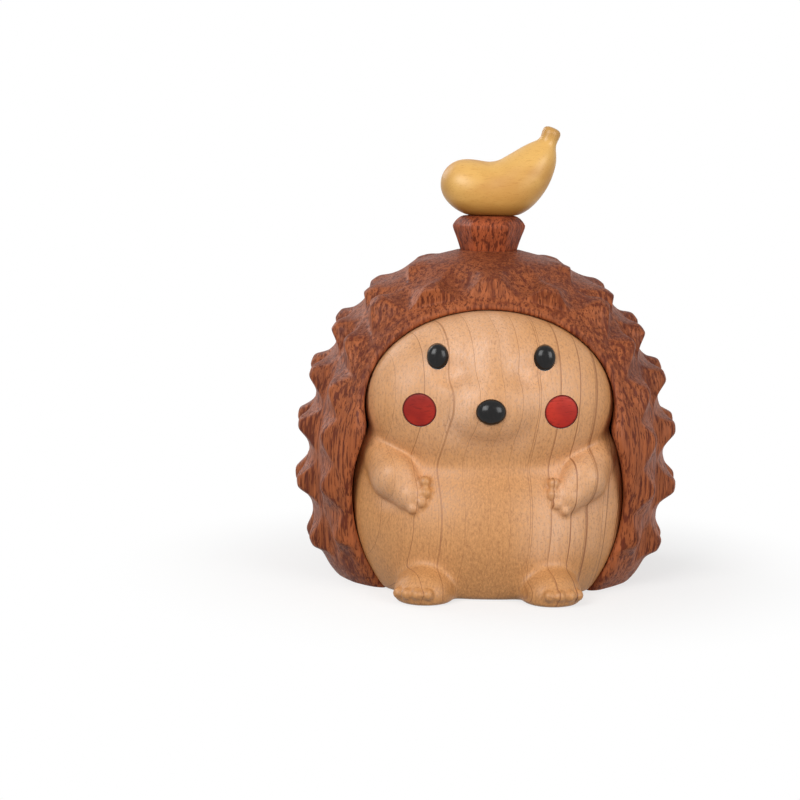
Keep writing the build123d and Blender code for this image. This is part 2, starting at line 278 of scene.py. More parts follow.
class Tree:
    """Adds nodes to one tree and joins them."""

    def __init__(self, tree):
        self.tree = tree

    def add(self, kind, inputs=None, **settings):
        """A node with its settings, and with its inputs by name or number."""
        node = self.tree.nodes.new(kind)
        for name, value in settings.items():
            setattr(node, name, value)
        for name, value in (inputs or {}).items():
            self.feed(node.inputs[name], value)
        return node

    def feed(self, socket, value):
        """Links an output to a socket, or sets the socket's own value."""
        value = getattr(value, "socket", value)
        if isinstance(value, bpy.types.NodeSocket):
            self.tree.links.new(value, socket)
        else:
            socket.default_value = value

    def out(self, node, name=0):
        return Value(self, node.outputs[name])

    def math(self, operation, *values):
        return self.out(self.add("ShaderNodeMath", dict(enumerate(values)), operation=operation))

    def vector(self, operation, *values):
        node = self.add("ShaderNodeVectorMath", dict(enumerate(values)), operation=operation)
        return self.out(node, "Value" if operation in ("LENGTH", "DISTANCE", "DOT_PRODUCT") else "Vector")

    def times(self, vector, factor):
        inputs = {"Vector": vector, "Scale": factor}
        return self.out(self.add("ShaderNodeVectorMath", inputs, operation="SCALE"))

    def split(self, vector):
        node = self.add("ShaderNodeSeparateXYZ", {0: vector})
        return [self.out(node, axis) for axis in range(3)]

    def join(self, x, y, z):
        return self.out(self.add("ShaderNodeCombineXYZ", {0: x, 1: y, 2: z}))

    def span(self, value, low, high, first=0.0, last=1.0, kind="SMOOTHSTEP"):
        """Goes from first to last while a value goes from low to high."""
        inputs = {"Value": value, "From Min": low, "From Max": high, "To Min": first, "To Max": last}
        return self.out(self.add("ShaderNodeMapRange", inputs, interpolation_type=kind), "Result")

    def seen(self):
        """1 for what the camera sees, straight or in a reflection, and 0 for what only lights."""
        path = self.add("ShaderNodeLightPath")
        seen = self.out(path, "Is Camera Ray")
        for name in ("Is Glossy Ray", "Is Transmission Ray"):
            seen = seen.at_least(self.out(path, name))
        return seen

    def white_over(self, white, share, base, end):
        """Pure white over another surface, by a share, at the end of the tree."""
        glow = self.add(white, {"Color": WHITE, "Strength": 1.0})
        both = self.add("ShaderNodeMixShader", {0: share, 1: base.outputs[0], 2: glow.outputs[0]})
        self.feed(self.tree.nodes[end].inputs["Surface"], both.outputs[0])


class ShapeTree(Tree):
    """Geometry Nodes tree with named inputs."""

    def __init__(self, name):
        super().__init__(bpy.data.node_groups.new(name, "GeometryNodeTree"))
        self.tree.interface.new_socket("Geometry", in_out="INPUT", socket_type="NodeSocketGeometry")
        self.tree.interface.new_socket("Geometry", in_out="OUTPUT", socket_type="NodeSocketGeometry")
        self.start = self.add("NodeGroupInput")
        self.end = self.add("NodeGroupOutput")
        self.amounts = {}

    def sizes(self, group, *names):
        """Inputs for properties of a group, with lengths in millimetres."""
        found = []
        for name in names:
            value = getattr(group, name)
            if group.bl_rna.properties[name].unit == "LENGTH":
                value = value / MM
            kind = "NodeSocketInt" if isinstance(value, int) else "NodeSocketFloat"
            self.tree.interface.new_socket(name, in_out="INPUT", socket_type=kind)
            self.amounts[name] = value
            found.append(self.out(self.start, name))
        return found

    def finish(self, geometry, material):
        """Shades the result smooth, brings it to metres and gives it its material."""
        smooth = self.add("GeometryNodeSetShadeSmooth", {"Geometry": geometry})
        small = self.add("GeometryNodeTransform", {"Geometry": smooth.outputs[0], "Scale": (MM, MM, MM)})
        paint = self.add("GeometryNodeSetMaterial", {"Geometry": small.outputs[0], "Material": material})
        self.feed(self.end.inputs["Geometry"], paint.outputs[0])


def new_piece(name, mesh):
    """An object in the scene for a mesh."""
    piece = bpy.data.objects.new(name, mesh)
    bpy.context.scene.collection.objects.link(piece)
    return piece


def as_plain_mesh(piece):
    """Turns what the modifiers give into the piece's own mesh and takes the modifiers off."""
    graph = bpy.context.evaluated_depsgraph_get()
    mesh = bpy.data.meshes.new_from_object(piece.evaluated_get(graph))
    piece.modifiers.clear()
    old = piece.data
    piece.data = mesh
    mesh.name = piece.name
    bpy.data.meshes.remove(old)


def grow(name, mesh, tree):
    """Runs a shape tree on a mesh, with its inputs set, and keeps the result as a plain mesh."""
    piece = new_piece(name, mesh)
    modifier = piece.modifiers.new("shape", "NODES")
    modifier.node_group = tree.tree
    for item in tree.tree.interface.items_tree:
        if item.name in tree.amounts:
            modifier[item.identifier] = tree.amounts[item.name]
    as_plain_mesh(piece)
    if len(piece.data.polygons) == 0:
        raise RuntimeError(name + " came out empty")
    return piece


def carve(piece, cutter_mesh, operation="DIFFERENCE"):
    """Cuts a closed form out of a piece, or joins it on."""
    cutter = new_piece("cutter", cutter_mesh)
    modifier = piece.modifiers.new("carve", "BOOLEAN")
    modifier.operation = operation
    modifier.solver = "EXACT"
    modifier.object = cutter
    as_plain_mesh(piece)
    bpy.data.objects.remove(cutter)
    bpy.data.meshes.remove(cutter_mesh)


def saw_off(piece, z):
    """Cuts off what is below a level and closes the cut."""
    form = bmesh.new()
    form.from_mesh(piece.data)
    everything = form.verts[:] + form.edges[:] + form.faces[:]
    cut = bmesh.ops.bisect_plane(form, geom=everything, dist=1e-7, plane_co=(0, 0, z * MM),
                                 plane_no=(0, 0, 1), clear_inner=True)
    edges = [item for item in cut["geom_cut"] if isinstance(item, bmesh.types.BMEdge)]
    bmesh.ops.triangle_fill(form, edges=edges, use_beauty=True)
    bmesh.ops.recalc_face_normals(form, faces=form.faces)
    form.to_mesh(piece.data)
    form.free()


def crisp(piece, degrees=38):
    """Smooth faces, with the edges that turn by more than this left sharp."""
    piece.data.shade_smooth()
    piece.data.set_sharp_from_angle(angle=radians(degrees))


def settle(piece, body, nodes):
    """Fixes a finished piece to its body, in place of its solids."""
    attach(piece, body)
    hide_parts(*nodes)


def mesh_from(name, form):
    """A mesh from a bmesh in millimetres, with its normals outward."""
    bmesh.ops.recalc_face_normals(form, faces=form.faces)
    mesh = bpy.data.meshes.new(name)
    form.to_mesh(mesh)
    form.free()
    mesh.transform(Matrix.Scale(MM, 4))
    mesh.shade_smooth()
    return mesh


def add_rings(form, rings):
    """Closed skin over rings of points that have equal counts; a ring of one point closes an end."""
    rows = [[form.verts.new(point) for point in ring] for ring in rings]
    for lower, upper in zip(rows, rows[1:]):
        count = max(len(lower), len(upper))
        for index in range(count):
            corners = [lower[index % len(lower)], lower[(index + 1) % len(lower)],
                       upper[(index + 1) % len(upper)], upper[index % len(upper)]]
            corners = list(dict.fromkeys(corners))
            if len(corners) > 2:
                form.faces.new(corners)
    for row in (rows[0], rows[-1]):
        if len(row) > 2:
            form.faces.new(row)


def oval(wide, tall, steps):
    """Points round an oval, as pairs."""
    turns = [tau * step / steps for step in range(steps)]
    return [(wide * cos(turn), tall * sin(turn)) for turn in turns]


def oval_bar(form, half_width, half_height, front, back, x, z, steps):
    """Oval bar along Y."""
    points = oval(half_width, half_height, steps)
    add_rings(form, [[(x + across, y, z + up) for across, up in points] for y in (front, back)])


def round_bar(form, radius, low, high, steps=64):
    """Round bar along Z, in line with the stalk."""
    points = oval(radius, radius, steps)
    add_rings(form, [[(across, HEART.y + along, z) for across, along in points] for z in (low, high)])


def pocket_bar(form, ovals, gap, front, back, steps=200):
    """Bar along Y whose outline is the head's oval and the torso's oval run together."""
    outline = []
    for step in range(steps):
        turn = tau * step / steps
        across, up = cos(turn), sin(turn)
        total = 0.0
        for half_width, half_height, height in ovals:
            wide, tall = half_width + gap, half_height + gap
            a = (across / wide) ** 2 + (up / tall) ** 2
            b = up * (POCKET_MIDDLE_Z - height) / tall ** 2
            c = ((POCKET_MIDDLE_Z - height) / tall) ** 2 - 1
            total += ((-b + sqrt(b * b - a * c)) / a) ** POCKET_BLEND
        reach = total ** (1 / POCKET_BLEND)
        outline.append((reach * across, POCKET_MIDDLE_Z + reach * up))
    add_rings(form, [[(x, y, z) for x, z in outline] for y in (front, back)])


def face_y(x, z):
    """Depth of the face at a spot on it, in millimetres."""
    sizes = bpy.context.scene.hedgehog_body
    across = x * MM / sizes.head_half_width
    up = (z - HEAD_Z) * MM / sizes.head_half_height
    return FACE_PLANE_Y - sizes.head_bulge / MM * sqrt(1 - across ** 2 - up ** 2)


class WoodTree(Tree):
    """Shader tree of one wood, on the piece's own place in millimetres."""

    def __init__(self, name):
        self.material = bpy.data.materials.new(name)
        self.material.use_nodes = True
        super().__init__(self.material.node_tree)
        self.shader = self.tree.nodes["Principled BSDF"]
        place = self.add("ShaderNodeTexCoord").outputs["Object"]
        self.place = self.times(place, 1 / MM)

    def stretched(self, x, y, z, turn=(0.0, 0.0, 0.0), shift=(0.0, 0.0, 0.0)):
        """The place, with as many steps to a millimetre as each number says."""
        turn = [radians(angle) for angle in turn]
        inputs = {"Vector": self.place, "Location": shift, "Rotation": turn, "Scale": (x, y, z)}
        return self.out(self.add("ShaderNodeMapping", inputs))

    def noise(self, vector, detail, roughness=0.5, distortion=0.0):
        inputs = {"Vector": vector, "Scale": 1.0, "Detail": detail, "Roughness": roughness,
                  "Distortion": distortion}
        return self.out(self.add("ShaderNodeTexNoise", inputs), "Fac")

    def blend(self, share, first, second):
        """A share of the second colour over the first."""
        inputs = {0: share}
        for number, value in ((6, first), (7, second)):
            inputs[number] = value if isinstance(value, Value) else (*value, 1.0)
        return self.out(self.add("ShaderNodeMix", inputs, data_type="RGBA"), 2)

    def finish(self, shade, grain, smooth, rough, gloss=0.5):
        """Colour, gloss, and a roughness that follows a grain."""
        self.feed(self.shader.inputs["Base Color"], shade)
        self.feed(self.shader.inputs["Roughness"], self.span(grain, 0.3, 0.7, smooth, rough))
        self.feed(self.shader.inputs["Specular IOR Level"], gloss)

    def relief(self, height, strength, distance):
        """Fine relief that bends the light but moves nothing."""
        inputs = {"Strength": strength, "Distance": distance * MM, "Height": height}
        self.feed(self.shader.inputs["Normal"], self.add("ShaderNodeBump", inputs).outputs["Normal"])


def tinted(colour, *factors):
    """A colour made brighter or darker, as a whole or part by part."""
    return [min(1.0, part * factors[index % len(factors)]) for index, part in enumerate(colour)]


def husk_wood(name, main, dark, pore_gap, ribbon):
    """Reddish hardwood: fine dark pores along the grain over darker and lighter ribbons, with a painted
    highlight across the brow above the opening.
    """
    wood = WoodTree(name)
    sway = wood.noise(wood.stretched(0.05, 0.05, 0.03), 2.0)
    ribbons = wood.noise(wood.stretched(ribbon, ribbon, 0.02), 3.0, 0.6, 0.4)
    fibres = wood.noise(wood.stretched(1.5, 1.5, 0.06), 2.0, 0.5)
    pores = wood.noise(wood.stretched(1 / pore_gap, 1 / pore_gap, 0.1 / pore_gap), 2.0, 0.6)
    pore_lines = wood.span(pores, 0.54, 0.62)
    body = wood.blend(wood.span(ribbons, 0.38, 0.62, 0.0, 0.62), main, dark)
    bright = tinted(main, 1.42)
    body = wood.blend(wood.span(sway, 0.42, 0.66, 0.0, 0.5), body, bright)
    body = wood.blend(wood.span(fibres, 0.47, 0.36, 0.0, 0.7), body, bright)
    body = wood.blend(wood.span(fibres, 0.52, 0.62, 0.0, 0.95), body, dark)
    x, y, z = wood.split(wood.place)
    # Painted highlight: a lighter band across the husk's brow above the opening, where the light falls.
    brow = wood.span(z, 50.0, 56.0) * wood.span(y, -14.0, -22.0)
    body = wood.blend(brow * 0.3, body, bright)
    facing = wood.split(wood.add("ShaderNodeTexCoord").outputs["Normal"])[2]
    end_grain = wood.span(abs(facing), 0.45, 0.95, 0.0, 0.35)
    body = wood.blend(end_grain, body, dark)
    body = wood.blend(pore_lines * 0.8, body, tinted(dark, 0.66))
    wood.finish(body, pores, 0.42, 0.62, 0.17)
    wood.relief(1.0 - (pore_lines + fibres), 0.35, 0.12)
    return wood.material


def body_wood():
    """Pale wood with thin, wandering growth lines, fibre and fine flecks, with painted sheen, highlights and
    shade laid over it by place.
    """
    paint = bpy.context.scene.hedgehog_colours
    wood = WoodTree("body_wood")
    x, y, z = wood.split(wood.place)
    drift = wood.noise(wood.stretched(0.022, 0.03, 0.02, shift=(3.1, 0.4, 1.7)), 2.0)
    wobble = wood.noise(wood.stretched(0.12, 0.12, 0.07), 2.0)
    ring = x + y * 0.45 + z * -0.1 + drift * 2.0 + wobble * 0.3
    uneven = wood.add("ShaderNodeTexNoise", noise_dimensions="1D")
    wood.feed(uneven.inputs["W"], ring * 0.21)
    uneven.inputs["Detail"].default_value = 1.0
    phase = ring / 4.3 + wood.out(uneven, "Fac") * 0.8
    year = wood.math("FRACT", phase)
    start = wood.span(x, -18.0, 18.0, 0.935, 0.9, "LINEAR")
    late = wood.span(year, start, start + 0.045) * wood.span(year, 0.975, 1.0, 1.0, 0.0)
    soft = wood.span(year, 0.35, 0.97, 0.0, 0.24)
    wear = wood.noise(wood.stretched(0.09, 0.09, 0.035, shift=(7.0, 2.0, 5.0)), 2.0)
    faint = wood.span(wear, 0.3, 0.62, 0.6, 1.0)
    fibres = wood.noise(wood.stretched(2.6, 2.6, 0.16), 4.0, 0.65)
    flecks = wood.noise(wood.stretched(1.6, 1.6, 4.2, shift=(1.0, 4.0, 9.0)), 2.0, 0.6)
    grains = wood.noise(wood.stretched(3.0, 3.0, 1.5), 3.0, 0.7)
    patches = wood.noise(wood.stretched(0.06, 0.06, 0.035, shift=(2.0, 8.0, 3.0)), 3.0)
    height = z + patches * 16.0
    # Paler face: partly the wood's own tone and partly painted sheen, higher up the body, fading towards the
    # sides and the top, with painted shade on the right, away from the light.
    to_side = wood.span(abs(x), 13.0, 23.0, 1.0, 0.35)
    pale_and_painted_light = wood.span(height, 29.0, 45.0) * to_side
    pale_and_painted_light = pale_and_painted_light * wood.span(z, 42.0, 52.0, 1.0, 0.6)
    pale_and_painted_light = pale_and_painted_light * wood.span(x, 2.0, 20.0, 1.0, 0.55)
    # Painted highlight on the front of the forearms, where the light falls.
    painted_arm_highlight = wood.span(abs(x), 11.5, 14.0) * wood.span(y, -22.5, -25.0)
    painted_arm_highlight = painted_arm_highlight * (wood.span(z, 15.0, 18.0) * wood.span(z, 31.0, 28.5))
    pale_and_painted_light = pale_and_painted_light.at_least(painted_arm_highlight * 0.5)
    # Painted highlight on the right of the belly, which faces up towards the light.
    painted_belly_highlight = wood.span(x, 2.0, 13.0) * wood.span(z, 31.0, 25.0, 0.0, 0.55)
    painted_belly_highlight = painted_belly_highlight * wood.span(z, 6.0, 10.0)
    pale_and_painted_light = pale_and_painted_light.at_least(painted_belly_highlight)
    shade = wood.blend(pale_and_painted_light, paint.body, paint.body_pale_and_sheen)
    shade = wood.blend(wood.span(patches, 0.40, 0.68, 0.0, 0.7), shade, paint.body_warm_and_shade)
    shade = wood.blend(soft, shade, paint.body_warm_and_shade)
    # Painted shade low between the feet, under the belly.
    painted_shade_between_feet = wood.span(z, 15.0, 3.0, 0.0, 0.5) * wood.span(abs(x), 10.0, 5.0)
    shade = wood.blend(painted_shade_between_feet, shade, tinted(paint.body_warm_and_shade, 0.7))
    shade = wood.blend(wood.span(fibres, 0.4, 0.75, 0.0, 0.32), shade, paint.body_line)
    shade = wood.blend(wood.span(flecks, 0.56, 0.72, 0.0, 0.16), shade, paint.body_line)
    # Painted shadow on the chest under the chin, in a darker warm tone.
    painted_shadow_under_chin = wood.span(z, 31.0, 27.0) * wood.span(z, 17.0, 21.0)
    painted_shadow_under_chin = painted_shadow_under_chin * wood.span(abs(x), 12.0, 8.0, 0.0, 0.35)
    shade = wood.blend(painted_shadow_under_chin, shade, tinted(paint.body_warm_and_shade, 0.85))
    pale = tinted(paint.body, 1.22)
    shade = wood.blend(wood.span(grains, 0.48, 0.68, 0.0, 0.65), shade, pale)
    shade = wood.blend(wood.span(grains, 0.5, 0.32, 0.0, 0.42), shade, paint.body_line)
    shade = wood.blend(late * faint, shade, paint.body_line)
    wood.finish(shade, grains, 0.40, 0.56)
    wood.relief(fibres - late * 0.5, 0.16, 0.1)
    return wood.material


def banana_wood():
    """Close-grained yellow wood with fine pores along the banana, browner at both ends, with painted shade
    along its underside.
    """
    paint = bpy.context.scene.hedgehog_colours
    wood = WoodTree("banana_wood")
    x, y, z = wood.split(wood.place)
    pores = wood.noise(wood.stretched(0.5, 4.2, 4.2), 2.0, 0.6)
    cloud = wood.noise(wood.stretched(0.07, 0.16, 0.16), 3.0)
    fine = wood.noise(wood.stretched(2.2, 6.0, 6.0), 2.0, 0.7)
    shade = wood.blend(wood.span(cloud, 0.36, 0.66, 0.0, 0.6), paint.banana, paint.banana_dark_and_shade)
    below_stem = wood.span(z, 85.4, 84.0)
    pore_lines = wood.span(pores, 0.56, 0.7, 0.0, 0.42) * below_stem
    specks = wood.span(fine, 0.55, 0.75, 0.0, 0.25) * below_stem
    shade = wood.blend(pore_lines, shade, paint.banana_dark_and_shade)
    shade = wood.blend(specks, shade, tinted(paint.banana_dark_and_shade, 0.6))
    # Painted shadow of the stalk along the underside, just above where the banana sits on it.
    shade = wood.blend(wood.span(z, 74.2, 71.2, 0.0, 0.75), shade, tinted(paint.banana_dark_and_shade, 0.75))
    stem = wood.span(z, 84.6, 87.4, 0.0, 0.5)
    tip = wood.span(x, -6.8, -9.8, 0.0, 0.5)
    shade = wood.blend(stem.at_least(tip), shade, tinted(paint.banana_dark_and_shade, 0.62))
    wood.finish(shade, cloud, 0.38, 0.5)
    wood.relief(pores * below_stem, 0.1, 0.06)
    return wood.material


def bead_black():
    """Polished black bead with a trace of grain."""
    paint = bpy.context.scene.hedgehog_colours
    wood = WoodTree("bead_black")
    grain = wood.noise(wood.stretched(3.0, 3.0, 0.8), 3.0, 0.6)
    brown = tinted(paint.bead, 2.6, 2.3, 2.2)
    wood.finish(wood.blend(wood.span(grain, 0.45, 0.75), paint.bead, brown), grain, 0.14, 0.26, 0.28)
    wood.relief(grain, 0.08, 0.05)
    return wood.material


def cheek_wood():
    """Red plug with faint streaks and a thin dark glue edge."""
    paint = bpy.context.scene.hedgehog_colours
    sizes = bpy.context.scene.hedgehog_inlays
    wood = WoodTree("cheek_wood")
    x, y, z = wood.split(wood.place)
    across = abs(x) - CHEEK_X
    up = z - CHEEK_Z
    out = wood.vector("LENGTH", wood.join(across, up, 0.0))
    rim = sizes.cheek_width / MM / 2
    streaks = wood.noise(wood.stretched(0.7, 2.0, 3.6, turn=(0.0, 20.0, 0.0)), 3.0, 0.6)
    cloud = wood.noise(wood.stretched(0.2, 0.2, 0.25), 2.0)
    bright = tinted(paint.cheek, 1.35, 1.7, 1.5)
    shade = wood.blend(wood.span(cloud, 0.4, 0.65), paint.cheek, bright)
    shade = wood.blend(wood.span(streaks, 0.52, 0.75, 0.0, 0.6), shade, paint.cheek_dark)
    shade = wood.blend(wood.span(x, 14.0, -14.0, 0.0, 0.35), shade, paint.cheek_dark)
    edge = wood.span(out, rim - 0.42, rim - 0.12)
    shade = wood.blend(edge * 0.75, shade, paint.cheek_dark)
    wood.finish(shade, streaks, 0.38, 0.55, 0.2)
    wood.relief(streaks, 0.12, 0.06)
    return wood.material


def pin_wood():
    """Plain pale wood of the hidden pins, with short flecks."""
    paint = bpy.context.scene.hedgehog_colours
    wood = WoodTree("pin_wood")
    flecks = wood.noise(wood.stretched(3.0, 3.0, 1.0), 3.0, 0.6)
    fibres = wood.noise(wood.stretched(1.2, 1.2, 0.2), 3.0, 0.6)
    dark = tinted(paint.pin, 0.55)
    shade = wood.blend(wood.span(fibres, 0.4, 0.7, 0.0, 0.5), paint.pin, dark)
    shade = wood.blend(wood.span(flecks, 0.58, 0.72, 0.0, 0.5), shade, dark)
    wood.finish(shade, flecks, 0.5, 0.66)
    wood.relief(flecks, 0.15, 0.06)
    return wood.material


def fade(value, start, end):
    """Goes from 0 to 1 while a value goes from start to end."""
    return min(max((value - start) / (end - start), 0.0), 1.0)


def husk_reach(away, deep):
    """How far the husk is from its heart along a direction: its spine tips, or deep, its valleys."""
    sizes = bpy.context.scene.hedgehog_husk
    depth = 0.0
    if deep:
        near_top = fade(away.z, 0.6, 0.95) * fade(abs(away.y), 0.5, 0.2)
        near_foot = fade(away.z, -0.3, -0.55)
        depth = sizes.spine_height * (1 - sizes.top_fade * near_top) * (1 - FOOT_FADE * near_foot)
    upright = sizes.rise if away.z > 0 else sizes.drop
    total = 0.0
    for part, half in ((away.x, sizes.half_width), (away.y, sizes.half_depth), (away.z, upright)):
        total += abs(part * MM / (half - depth)) ** sizes.squareness
    return total ** (-1 / sizes.squareness)


def cells_between(row, near, far):
    """Cells between two rings of spines: four-sided where they match, else cut along the shorter diagonal."""
    cells = []
    if len(near) == len(far):
        for one in range(len(near)):
            after = (one + 1) % len(near)
            cells.append([(row, one), (row, after), (row + 1, after), (row + 1, one)])
        return cells
    near_ends = list(near) + [360.0]
    far_ends = list(far) + [360.0]
    far_steps = len(far) if len(far) > 1 else 0
    one = other = 0
    while one < len(near) or other < far_steps:
        here, there = (row, one % len(near)), (row + 1, other % len(far))
        step_near = one < len(near)
        if step_near and other < far_steps:
            step_near = abs(near_ends[one + 1] - far_ends[other]) <= abs(far_ends[other + 1] - near_ends[one])
        if step_near:
            one += 1
            cells.append([here, (row, one % len(near)), there])
        else:
            other += 1
            cells.append([here, (row + 1, other % len(far)), there])
    return cells


def husk_lattice():
    """Coarse closed mesh: a point for each spine tip and each valley between them, with the peaks marked."""
    sizes = bpy.context.scene.hedgehog_husk

    def along(row, row_angle, column_angle):
        from_top = min(column_angle, 360 - column_angle)
        slide = ROW_STAGGER * min(from_top / 18.0, 1.0) * max(1 - from_top / STAGGER_ENDS, 0.0)
        if row < 2:
            slide = 0.0
        elif (row % 2 == 1) != (column_angle > 180):
            slide = -slide
        turn = radians(column_angle + slide)
        lean = ROW_LEAN * min((180 - row_angle) / LEAN_ENDS, 1.0)
        tilt = radians(row_angle + lean * cos(turn))
        return Vector((sin(tilt) * sin(turn), -cos(tilt), sin(tilt) * cos(turn)))

    def band(point):
        over = (point - HEART).normalized().z
        lower_at_top = 1 - 0.45 * fade(over, 0.3, 0.7)
        return sizes.front_band * lower_at_top * fade(point.z, 2.0, 24.0)

    columns = list(COLUMN_ANGLES) + [360 - angle for angle in reversed(COLUMN_ANGLES[1:-1])]
    front_columns = list(FRONT_COLUMN_ANGLES) + [360 - angle for angle in reversed(FRONT_COLUMN_ANGLES[1:-1])]
    rings = [(angle, columns) for angle in (RIM_ANGLE,) + ROW_ANGLES]
    rings[1] = (ROW_ANGLES[0], front_columns)
    rings.append((SPARSE_ROW_ANGLE, [360 * number / SPARSE_SPINES for number in range(SPARSE_SPINES)]))
    rings.append((BACK_ROW_ANGLE, [360 * number / BACK_SPINES for number in range(BACK_SPINES)]))
    rings.append((180.0, [0.0]))
    place = {}
    peak = {}
    for row, (row_angle, turns) in enumerate(rings):
        for column, turn in enumerate(turns):
            one_side = min(column, len(turns) - column)
            away = along(row, FRONT_ROW_ANGLES[one_side] if row == 1 else row_angle, turn)
            tip = HEART + away * husk_reach(away, False)
            bare = row == 0 or tip.z < BARE_NEAR_FLOOR
            if tip.z > HEART.z and Vector((tip.x, tip.y - HEART.y)).length < BARE_NEAR_STALK:
                bare = True
            place[row, column] = HEART + away * husk_reach(away, True) if bare else tip
            peak[row, column] = 0.0 if bare else FRONT_PEAKS[one_side] if row == 1 else 1.0
            if row == 0:
                peak[row, column] = band(place[row, column])
    cells = []
    for row in range(len(rings) - 1):
        cells += cells_between(row, rings[row][1], rings[row + 1][1])

    form = bmesh.new()
    peak_layer = form.verts.layers.float.new("peak")
    spot = {}
    for key, point in place.items():
        spot[key] = form.verts.new(point)
        spot[key][peak_layer] = peak[key]
    hollows = []
    beside = {}
    for number, cell in enumerate(cells):
        middle = sum((place[corner] for corner in cell), Vector()) / len(cell)
        step = STEP_AT_TOP * fade((middle - HEART).normalized().z, 0.45, 0.8)
        upper = [place[corner] for corner in cell if place[corner].z > middle.z]
        middle = (middle + sum(upper, Vector()) / len(upper) * step / 2) / (1 + step / 2)
        away = (middle - HEART).normalized()
        hollows.append(form.verts.new(HEART + away * husk_reach(away, True)))
        if cell[0][0] == 0:
            hollows[-1][peak_layer] = band(hollows[-1].co)
        for index, corner in enumerate(cell):
            beside.setdefault(frozenset((corner, cell[index - 1])), []).append(number)
    rim = []
    for edge, numbers in beside.items():
        one, other = sorted(edge)
        if len(numbers) == 2:
            first, second = hollows[numbers[0]], hollows[numbers[1]]
            form.faces.new((spot[one], first, second))
            form.faces.new((spot[other], second, first))
        else:
            form.faces.new((spot[one], spot[other], hollows[numbers[0]]))
            rim.append((spot[one], spot[other]))
    inner = {}
    ahead = Vector((0.0, -1.0, 0.0))
    for share in (0.66, 0.33):
        for pair in rim:
            for vert in pair:
                if (vert, share) not in inner:
                    away = ((vert.co - HEART).normalized() * share + ahead * (1 - share)).normalized()
                    inner[vert, share] = form.verts.new(HEART + away * husk_reach(away, True))
                    inner[vert, share][peak_layer] = band(inner[vert, share].co)
    front = form.verts.new(HEART + ahead * husk_reach(ahead, True))
    front[peak_layer] = sizes.front_band
    for one, other in rim:
        form.faces.new((one, other, inner[other, 0.66]))
        form.faces.new((one, inner[other, 0.66], inner[one, 0.66]))
        form.faces.new((inner[one, 0.66], inner[other, 0.66], inner[other, 0.33]))
        form.faces.new((inner[one, 0.66], inner[other, 0.33], inner[one, 0.33]))
        form.faces.new((inner[one, 0.33], inner[other, 0.33], front))
    bmesh.ops.recalc_face_normals(form, faces=form.faces)
    mesh = bpy.data.meshes.new("husk_lattice")
    form.to_mesh(mesh)
    form.free()
    return mesh


def oval_distance(tree, x, z, half_width, half_height, middle_z):
    """Distance from an oval outline in the plane of the opening."""
    across = x / half_width
    up = (z - middle_z) / half_height
    near = tree.vector("LENGTH", tree.join(across, up, 0.0))
    steep = tree.vector("LENGTH", tree.join(across / half_width, up / half_height, 0.0))
    steep = steep.at_least(0.001)
    return near * (near - 1.0) / steep


